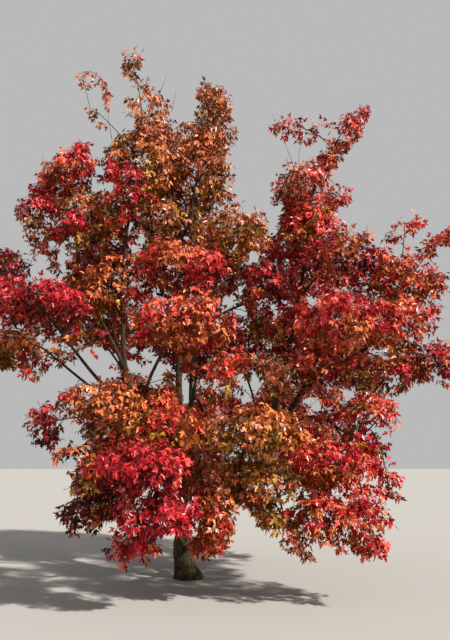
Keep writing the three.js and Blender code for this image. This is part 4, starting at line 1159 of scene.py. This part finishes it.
forkLimbs = [row for row in limbs if atFork(row)]
trunkTube = ringTube(evenly(limbLines["trunk"], fork["rings"]), trunkRadius, fork["sides"])
points, faces = np.zeros((0, 3)), []
for tubePoints, tubeFaces in [trunkTube] + [rootTube(row) for row in forkLimbs]:
    faces += [tuple(corner + len(points) for corner in face) for face in tubeFaces]
    points = np.vstack([points, tubePoints])
trunkSource = meshObject("trunkSource", points, faces=faces)
remesh = trunkSource.modifiers.new("one skin", "REMESH")
remesh.mode, remesh.voxel_size = "VOXEL", fork["voxel"]
smooth = trunkSource.modifiers.new("soft crotches", "SMOOTH")
smooth.iterations, smooth.factor = fork["smoothing"], fork["soften"]
graph = bpy.context.evaluated_depsgraph_get()
trunkMesh = bpy.data.meshes.new_from_object(trunkSource.evaluated_get(graph))
trunkMesh.name = "trunkBark"
bpy.data.objects.remove(trunkSource)
places, normals = vertexValues(trunkMesh, "co"), vertexValues(trunkMesh, "normal")
longways = [1, 1, bough["squeeze"]]
depth = hilly(places * longways, "furrows", "cracks")
some = slice(None, None, 3)  # every third point of a limb is close enough
middles = [limbLines[name][some] for name in ["trunk"] + [row["name"] for row in forkLimbs]]
middles = np.vstack([line[line[:, 2] < places[:, 2].max() + fork["above"]] for line in middles])
thickness = np.array([np.linalg.norm(middles - place, axis=1).min() for place in places])
depth *= np.minimum(thickness / fork["fullRelief"], 1)
trunkMesh.vertices.foreach_set("co", (places + normals * depth[:, None]).ravel())
shaper = bmesh.new()
shaper.from_mesh(trunkMesh)
everything = shaper.verts[:] + shaper.edges[:] + shaper.faces[:]
cut = bmesh.ops.bisect_plane(shaper, geom=everything, plane_co=(0, 0, 0), plane_no=(0, 0, -1),
                             clear_outer=True)
rim = [edge for edge in cut["geom_cut"] if isinstance(edge, bmesh.types.BMEdge)]
bmesh.ops.holes_fill(shaper, edges=rim)
shaper.to_mesh(trunkMesh)
shaper.free()
grain = trunkMesh.attributes.new("grain", "FLOAT_VECTOR", "POINT")
grain.data.foreach_set("vector", (vertexValues(trunkMesh, "co") * longways).ravel())
trunkMesh.polygons.foreach_set("use_smooth", np.ones(len(trunkMesh.polygons), bool))
trunkMesh.materials.clear()
trunkMesh.materials.append(barkMaterial)
trunkPiece = bpy.data.objects.new("trunkBark", trunkMesh)
bpy.context.scene.collection.objects.link(trunkPiece)
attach(trunkPiece, "root")
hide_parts("trunk")
print("trunk", triangles(trunkPiece), "triangles")

# Stage: a pale floor, a soft key from the right of the camera and pale light all round.
stage = dict(half=40, tone=(164, 162, 158), roughness=0.9, gloss=0.2,
             keyPower=6.8, keySoftness=math.radians(2), keyColour=(1, 0.95, 0.88),
             fill=0.62, fillTone=(230, 230, 230))
half = stage["half"]
corners = [(-half, -half, 0), (half, -half, 0), (half, half, 0), (-half, half, 0)]
floor = meshObject("floor", corners, faces=[(0, 1, 2, 3)])
floor.data.materials.append(plainFinish("studio floor", stage["tone"], stage["roughness"], stage["gloss"]))

world = bpy.context.scene.world or bpy.data.worlds.new("World")
bpy.context.scene.world = world
world.use_nodes = True
world.node_tree.nodes["Background"].inputs["Color"].default_value = linear(stage["fillTone"])
world.node_tree.nodes["Background"].inputs["Strength"].default_value = stage["fill"]
key = bpy.data.lights.new("key", "SUN")
key.energy, key.angle, key.color = stage["keyPower"], stage["keySoftness"], stage["keyColour"]
keyLight = bpy.data.objects.new("key", key)
keyLight.rotation_euler = Vector(-sun).to_track_quat("-Z", "Y").to_euler()
bpy.context.scene.collection.objects.link(keyLight)
bpy.context.scene.view_settings.view_transform = "Standard"

camera = bpy.data.cameras.new("camera")
camera.sensor_width, camera.lens = view["sensor"], view["lens"]
cameraObject = bpy.data.objects.new("camera", camera)
cameraObject.location = view["place"]
cameraObject.rotation_euler = (math.pi / 2 + view["tilt"], 0, 0)
bpy.context.scene.collection.objects.link(cameraObject)
bpy.context.scene.camera = cameraObject
